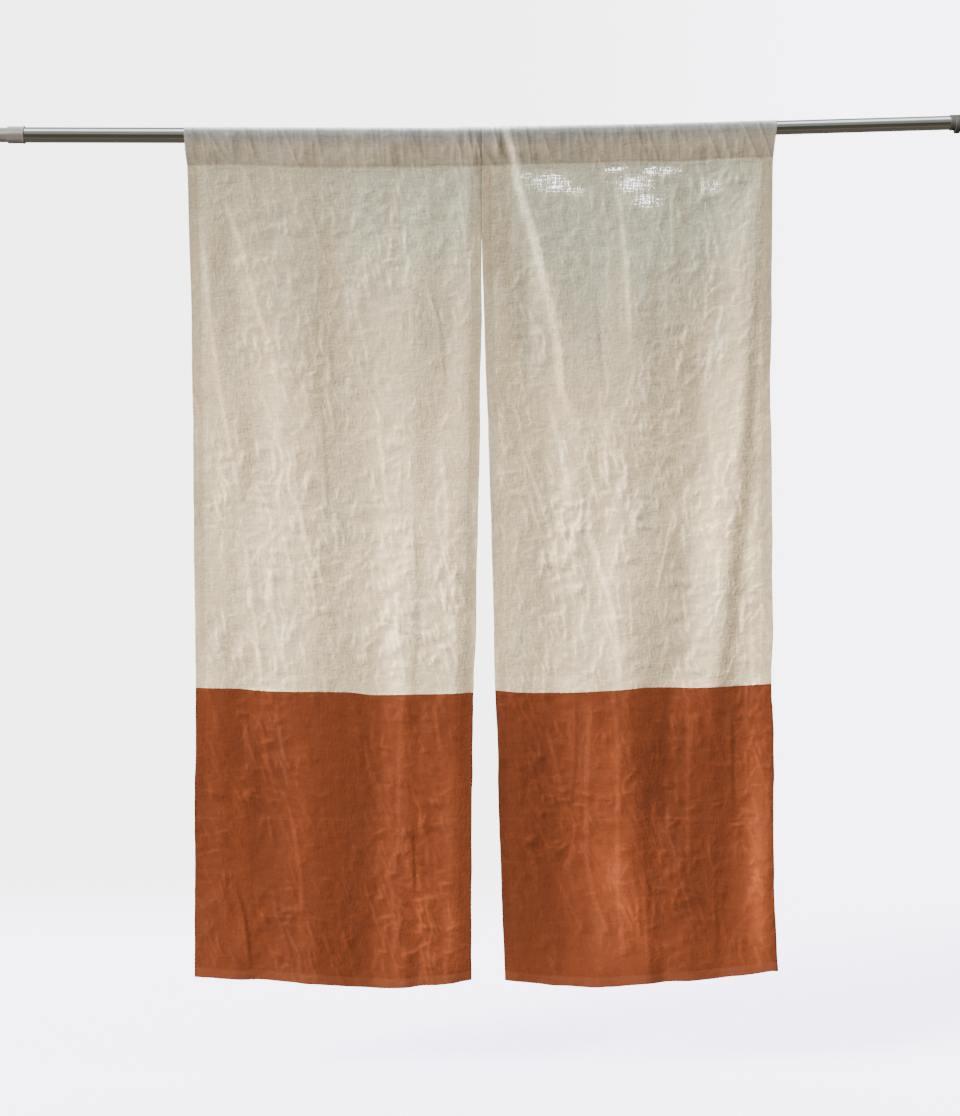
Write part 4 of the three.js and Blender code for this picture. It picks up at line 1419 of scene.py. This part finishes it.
natural = linen(
    "natural_linen", base=(0.618, 0.492, 0.313, 1), cool=(0.582, 0.567, 0.426, 1),
    highlight_colour=(0.565, 0.615, 0.65, 1), glow=(1.0, 0.95, 0.85, 1), through=0.2, contrast=0.75, strength=1.0)
rust = linen(
    "rust_linen", base=(0.148, 0.0345, 0.0115, 1), cool=(0.165, 0.046, 0.021, 1),
    highlight_colour=(0.15, 0.035, 0.0145, 1), glow=(1.0, 0.6, 0.4, 1), through=0.06, contrast=0.35, strength=0.5)
print("finishes:", natural.name, rust.name)

# %% [markdown]
# ## Steel, plastic and rubber
# The tubes are polished but not mirrors. Fine scratches along the tube spread the highlight. The
# collar is moulded plastic with a painted highlight along its top and painted light from below along
# its bottom, so its colour follows the height.

# %% The rod's finishes
UP_RANGE = (0.0065, 0.0165)
DOWN_RANGE = (-0.001, -0.009)


def grained(tree, scale, detail, colour, darkest):
    place = add(tree, "ShaderNodeTexCoord").outputs["Object"]
    stretch = add(tree, "ShaderNodeMapping", {"Vector": place, "Scale": scale})
    noise = add(tree, "ShaderNodeTexNoise", {"Vector": stretch.outputs[0], "Scale": 1.0, "Detail": detail})
    dark = (*(part * darkest for part in colour[:3]), 1)
    return place, noise.outputs[0], blend_colour(tree, "MIX", noise.outputs[0], dark, colour)


def rod_finish(name, colour, metallic, roughness, grain, above=None, below=None):
    material, tree = new_finish(name)
    place, noise, tint = grained(tree, grain, 4.0, colour, 0.85)
    rough = calc(tree, "ADD", roughness - 0.06, calc(tree, "MULTIPLY", noise, 0.12))
    if above:
        level = add(tree, "ShaderNodeSeparateXYZ", {"Vector": place}).outputs[2]
        # Painted highlight near the top, painted light from below near the bottom
        for (low, high), painted_light in ((UP_RANGE, above), (DOWN_RANGE, below)):
            share = add(tree, "ShaderNodeMapRange", {0: level, 1: low, 2: high}).outputs[0]
            tint = blend_colour(tree, "MIX", share, tint, painted_light)
    bump = add(tree, "ShaderNodeBump", {"Strength": 0.08, "Distance": 0.0003, "Height": noise}).outputs[0]
    surface = add(tree, "ShaderNodeBsdfPrincipled", {
        "Base Color": tint, "Metallic": metallic, "Roughness": rough, "Normal": bump})
    add(tree, "ShaderNodeOutputMaterial", {"Surface": surface.outputs[0]})
    return material


steel = rod_finish("rod_steel", (0.62, 0.61, 0.57, 1), 1.0, 0.12, (20, 1500, 1500))
collar_plastic = rod_finish("collar_plastic", (0.115, 0.108, 0.090, 1), 0.0, 0.42, (900, 900, 900),
                            above=(0.46, 0.47, 0.46, 1), below=(0.26, 0.23, 0.195, 1))
cap_rubber = rod_finish("cap_rubber", (0.045, 0.045, 0.042, 1), 0.0, 0.5, (900, 900, 900))
print("finishes:", steel.name, collar_plastic.name, cap_rubber.name)

# %% [markdown]
# ## Stitches
# Every hem is held by a row of straight stitches, about three millimetres long, in linen thread.
# One stitch is a short bead of four rings that dips into the cloth at both ends. It is placed
# along the rows with its own direction, and each cloth's stitches are joined in one mesh.

# %% The bead of one stitch
STITCH_PITCH = 3.4
BEAD_SIDES = 4
RING_ALONG = np.array([-1.3, -0.85, 0.85, 1.3])
RING_RADIUS = np.array([0.10, 0.21, 0.21, 0.10])
RING_LIFT = np.array([-0.14, 0.12, 0.12, -0.14])


def bead_faces():
    faces = [(0, 1, 2, 3), (15, 14, 13, 12)]
    for ring in range(0, 12, BEAD_SIDES):
        for side in range(BEAD_SIDES):
            after = (side + 1) % BEAD_SIDES
            faces.append((ring + side, ring + BEAD_SIDES + side, ring + BEAD_SIDES + after, ring + after))
    return np.array(faces)


def bead_points(centres, along):
    out = np.broadcast_to([0.0, -1.0, 0.0], along.shape)
    beside = np.cross(along, out)
    angle = np.arange(BEAD_SIDES) * math.tau / BEAD_SIDES
    around = (np.cos(angle)[:, None] * beside[:, None, None, :]
              + np.sin(angle)[:, None] * out[:, None, None, :])
    points = centres[:, None, None, :] + RING_ALONG[:, None, None] * along[:, None, None, :]
    return points + RING_LIFT[:, None, None] * out[:, None, None, :] + RING_RADIUS[:, None, None] * around


# %% [markdown]
# ## Rows of stitches
# A sewing machine feeds the cloth at an even pace, so the beads stand at an even pitch along their
# row. Arrays would need one object a row, and numpy places a whole row at once.

# %% Lay a bead at every stitch
def lay_stitches(name, rows):
    centres, along = [], []
    for path in rows:
        steps = np.linalg.norm(np.diff(path, axis=0), axis=1)
        length = np.concatenate([[0], np.cumsum(steps)])
        places = np.arange(STITCH_PITCH, length[-1] - STITCH_PITCH, STITCH_PITCH)
        start, end = (np.stack([np.interp(places + side, length, path[:, i]) for i in range(3)], -1)
                      for side in (-0.5, 0.5))
        centres.append((start + end) / 2)
        along.append(end - start)
    centres, along = np.concatenate(centres), np.concatenate(along)
    along = along / np.linalg.norm(along, axis=1)[:, None]
    first_points = 4 * BEAD_SIDES * np.arange(len(centres))[:, None, None]
    row = new_piece(name, bead_points(centres, along), (bead_faces()[None] + first_points).reshape(-1, 4))
    select_only(row)
    bpy.ops.object.mode_set(mode="EDIT")
    bpy.ops.mesh.select_all(action="SELECT")
    bpy.ops.mesh.normals_make_consistent(inside=False)
    bpy.ops.object.mode_set(mode="OBJECT")
    row.data.shade_smooth()
    print(name, len(centres), "stitches")
    return row


# %% [markdown]
# ## Where the rows run
# Each cloth has a row down both side hems. The upper one also has the row that closes the pocket, and
# the lower one the row of its bottom hem. The rows lie on the face of the cloth, in their grooves.

# %% Find the rows on the face of each cloth
ROW_POINTS = 300
SIDE_ROW_POINTS = 400


def on_face(panel, x, drop, back=0.0):
    return np.stack([x, -cloth_depth(panel, x, drop) + back, -drop], -1)


def side_rows(panel, top, bottom):
    drop = np.linspace(top, bottom, SIDE_ROW_POINTS)
    rows = []
    for share, inset in ((0.0, HEM - 1.2), (1.0, 1.2 - HEM)):
        x = across_at(panel, np.full_like(drop, share), np.full_like(drop, inset), drop)
        rows.append(on_face(panel, x, drop))
    return rows


stitches = {}
for panel in (LEFT_PANEL, RIGHT_PANEL):
    x = np.linspace(panel["left_edge"][2] + 2, panel["right_edge"][2] - 3, ROW_POINTS)
    pocket_row = on_face(panel, x, panel["stitch_at"](x), 0.35)
    x = np.linspace(panel["left_edge"][-1] + 2, panel["right_edge"][-1] - 2, ROW_POINTS)
    hem_row = on_face(panel, x, panel["bottom_at"](x) - BOTTOM_HEM + 1)
    for level, rows in (("upper", [pocket_row] + side_rows(panel, 50, 788)),
                        ("lower", [hem_row] + side_rows(panel, 812, 1200))):
        key = panel["name"] + "_" + level
        stitches[key] = lay_stitches(key + "_stitches", rows)

# %% [markdown]
# ## Thread
# The thread is linen too, matched to its cloth and a little darker, because it is round and tight.

# %% The thread's finish
def thread_finish(name, colour):
    material, tree = new_finish(name)
    _, noise, tint = grained(tree, (1500, 1500, 1500), 2.0, colour, 0.8)
    bump = add(tree, "ShaderNodeBump", {"Strength": 0.5, "Distance": 0.0002, "Height": noise}).outputs[0]
    surface = add(tree, "ShaderNodeBsdfPrincipled", {
        "Base Color": tint, "Roughness": 0.8, "Normal": bump, "Specular IOR Level": 0.2})
    add(tree, "ShaderNodeOutputMaterial", {"Surface": surface.outputs[0]})
    return material


natural_thread = thread_finish("natural_thread", (0.52, 0.41, 0.27, 1))
rust_thread = thread_finish("rust_thread", (0.17, 0.045, 0.018, 1))
print("finishes:", natural_thread.name, rust_thread.name)

# %% [markdown]
# ## Dressing the frame
# Each finished piece gets its material, rides on the one body that the object has, and stands in for
# its solid. The stitches stand for none, so they only ride along.

# %% Give each piece its finish, its body and the solid that it stands for
DRESSED = [
    (outer_tube, "rod_outer_tube", steel, "rod_steel"),
    (inner_tube, "rod_inner_tube", steel, "rod_steel"),
    (collar, "left_collar", collar_plastic, "collar_plastic"),
    (cap, "right_cap", cap_rubber, "cap_rubber"),
    (left_pad, "left_foot_pad", cap_rubber, "cap_rubber"),
    (right_pad, "right_foot_pad", cap_rubber, "cap_rubber"),
]
CLOTH_FINISHES = {
    "upper": (natural, natural_thread, "natural_linen"),
    "lower": (rust, rust_thread, "rust_linen"),
}
for key, (sheet, size) in sheets.items():
    finish, thread, slot = CLOTH_FINISHES[key.split("_")[1]]
    DRESSED.append((sheet, key + "_panel", finish, slot))
    DRESSED.append((stitches[key], None, thread, slot))
for piece, node, finish, slot in DRESSED:
    piece.data.materials.clear()
    piece.data.materials.append(finish)
    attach(piece, "root")
    if node:
        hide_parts(node)
print("dressed", len(DRESSED), "pieces")

# %% [markdown]

# %% [markdown]
# ## Floor
# The floor is pale and far below the hem, so the curtain hangs free. It fades out towards the back,
# where a hard edge would draw a horizon behind the cloth, and it takes no part in the cloth's light.

# %% Floor
FLOOR_HEIGHT = -1.36
FLOOR_FADE = (1.2, 2.4)


def make_floor():
    bpy.ops.object.select_all(action="DESELECT")
    bpy.ops.mesh.primitive_plane_add(size=1, location=(0, 0.2, FLOOR_HEIGHT))
    floor = bpy.context.object
    floor.name = "floor"
    floor.scale = (7, 4.4, 1)
    bpy.ops.object.transform_apply(location=True, rotation=True, scale=True)
    material, tree = new_finish("floor_finish")
    place = add(tree, "ShaderNodeTexCoord").outputs["Object"]
    depth = add(tree, "ShaderNodeSeparateXYZ", {"Vector": place}).outputs[1]
    near, far = FLOOR_FADE
    fade = add(tree, "ShaderNodeMapRange", {0: depth, 1: near, 2: far, 3: 1.0, 4: 0.0},
               interpolation_type="SMOOTHSTEP")
    surface = add(tree, "ShaderNodeBsdfPrincipled", {
        "Base Color": (0.86, 0.86, 0.875, 1), "Roughness": 0.9,
        "Emission Color": (0.83, 0.76, 1.1, 1), "Emission Strength": 4.0})
    clear = add(tree, "ShaderNodeBsdfTransparent")
    mixed = add(tree, "ShaderNodeMixShader", {0: fade.outputs[0], 1: clear.outputs[0], 2: surface.outputs[0]})
    add(tree, "ShaderNodeOutputMaterial", {"Surface": mixed.outputs[0]})
    floor.data.materials.append(material)
    floor.visible_glossy = False
    floor.visible_diffuse = False
    floor.visible_transmission = False


make_floor()
print("floor at", FLOOR_HEIGHT, "m")

# %% [markdown]
# ## Room light
# A photo studio lights cloth from all sides: softly from above and from the floor, and more strongly
# from the pale wall behind, which makes thin linen glow. A world made of soft ranges gives that
# without a single lamp, and costs little time.

# %% Room light
world = bpy.data.worlds.new("studio")
bpy.context.scene.world = world
world.use_nodes = True
sky = world.node_tree
sky.nodes.clear()
direction = add(sky, "ShaderNodeTexCoord").outputs["Generated"]
to_side, to_back, to_top = add(sky, "ShaderNodeSeparateXYZ", {"Vector": direction}).outputs


def soft_range(value, low, high):
    ranged = add(sky, "ShaderNodeMapRange", {0: value, 1: low, 2: high}, interpolation_type="SMOOTHSTEP")
    return ranged.outputs[0]


above_floor = soft_range(to_top, -0.35, 0.1)
bright = weighted(
    sky, (soft_range(to_top, 0.6, 0.95), 2.6), (soft_range(to_top, 0.05, 0.45), 0.32),
    (calc(sky, "MULTIPLY", soft_range(to_back, 0.1, 0.6), above_floor), 0.8),
    (soft_range(to_top, -0.3, -0.8), 0.5), (1.0, 0.10))
room = add(sky, "ShaderNodeBackground", {"Color": (1.0, 0.985, 0.96, 1), "Strength": bright})


# %% [markdown]
# ## What the rod mirrors
# A polished tube shows its room as bands of light, whatever the light on the cloth is like. So glossy
# rays see their own ramp of greys, by height over the horizon in front: dark floor, pale wall, a
# bright strip of window high up and a grey ceiling.

# %% What the polished rod mirrors, by height above the horizon in front of it
def ramp(tree, value, stops):
    node = add(tree, "ShaderNodeValToRGB", {0: value})
    for place, colour in stops[:-2]:
        node.color_ramp.elements.new(place)
    for element, (place, colour) in zip(node.color_ramp.elements, stops):
        element.position, element.color = place, (*colour, 1)
    return node.outputs[0]


LOWEST, SWEEP = -90, 270
MIRRORED = [
    # degrees over the horizon, colour
    (-90, (0.18, 0.16, 0.14)), (-76, (0.14, 0.125, 0.105)), (-60, (0.27, 0.23, 0.18)),
    (-44, (0.13, 0.12, 0.09)), (2, (0.10, 0.095, 0.07)), (7, (0.40, 0.43, 0.42)),
    (34, (0.42, 0.45, 0.46)), (50, (0.62, 0.68, 0.72)), (60, (3.2, 3.7, 3.9)),
    (84, (2.9, 3.3, 3.5)), (98, (0.5, 0.52, 0.54)), (160, (0.8, 0.8, 0.8)),
]
elevation = calc(sky, "ARCTAN2", to_top, calc(sky, "MULTIPLY", to_back, -1.0))
raised = calc(sky, "DIVIDE", calc(sky, "SUBTRACT", elevation, math.radians(LOWEST)), math.radians(SWEEP))
mirrored = ramp(sky, raised, [((angle - LOWEST) / SWEEP, colour) for angle, colour in MIRRORED])
gleam = add(sky, "ShaderNodeBackground", {"Color": mirrored, "Strength": 1.0})
print("the rod mirrors", len(MIRRORED), "stops of light")

# %% [markdown]
# ## The paper behind
# The camera sees bright plain paper, a little brighter to the right. It is the world's own colour for
# camera rays, so it throws no shadow and no light of its own on the cloth.

# %% The bright paper behind, a little brighter to the right
to_right = soft_range(to_side, -0.02, 0.17)
paper = blend_colour(sky, "MIX", to_right, (4.6, 4.6, 4.75, 1), (6.0, 6.0, 6.7, 1))
seen = add(sky, "ShaderNodeBackground", {"Color": paper, "Strength": 1.0})
rays = add(sky, "ShaderNodeLightPath")
light = room.outputs[0]
for kind, shown in (("Is Glossy Ray", gleam), ("Is Camera Ray", seen)):
    light = add(sky, "ShaderNodeMixShader", {0: rays.outputs[kind], 1: light, 2: shown.outputs[0]}).outputs[0]
add(sky, "ShaderNodeOutputWorld", {"Surface": light})
print("world:", world.name, "with", len(sky.nodes), "nodes")


# %% [markdown]
# ## Window light
# One soft sun stands for the window at the upper left. Its wide angle softens every shadow, and its
# slant across the cloth is what makes the creases stand out.

# %% Window light
def add_sun(name, towards, strength, softness, colour):
    light = bpy.data.lights.new(name, "SUN")
    light.energy = strength
    light.angle = math.radians(softness)
    light.color = colour
    lamp = bpy.data.objects.new(name, light)
    lamp.rotation_euler = Vector(towards).to_track_quat("-Z", "Y").to_euler()
    bpy.context.scene.collection.objects.link(lamp)


add_sun("window", towards=(0.62, 0.62, -0.48), strength=9.3, softness=22, colour=(1.0, 0.97, 0.93))
print("lamps:", len(bpy.data.lights))

# %% [markdown]
# ## Camera
# The camera stands level with the middle of the curtain, so that no edge converges. Its distance and
# the width that it sees there give the lens.

# %% Camera
DISTANCE = 3.5
HALF_WIDTH_SEEN = 0.6926
SENSOR_WIDTH = 36
camera_data = bpy.data.cameras.new("camera")
camera = bpy.data.objects.new("camera", camera_data)
bpy.context.scene.collection.objects.link(camera)
bpy.context.scene.camera = camera
camera_data.sensor_fit = "HORIZONTAL"
camera_data.sensor_width = SENSOR_WIDTH
camera_data.lens = SENSOR_WIDTH / 2 / (HALF_WIDTH_SEEN / DISTANCE)
camera.location = (0, -DISTANCE, -0.6088)
camera.rotation_euler = (math.pi / 2, 0, 0)
print("lens, mm:", round(camera_data.lens, 1))

# %% [markdown]
# ## The last step

# %% Finish
print("finished")
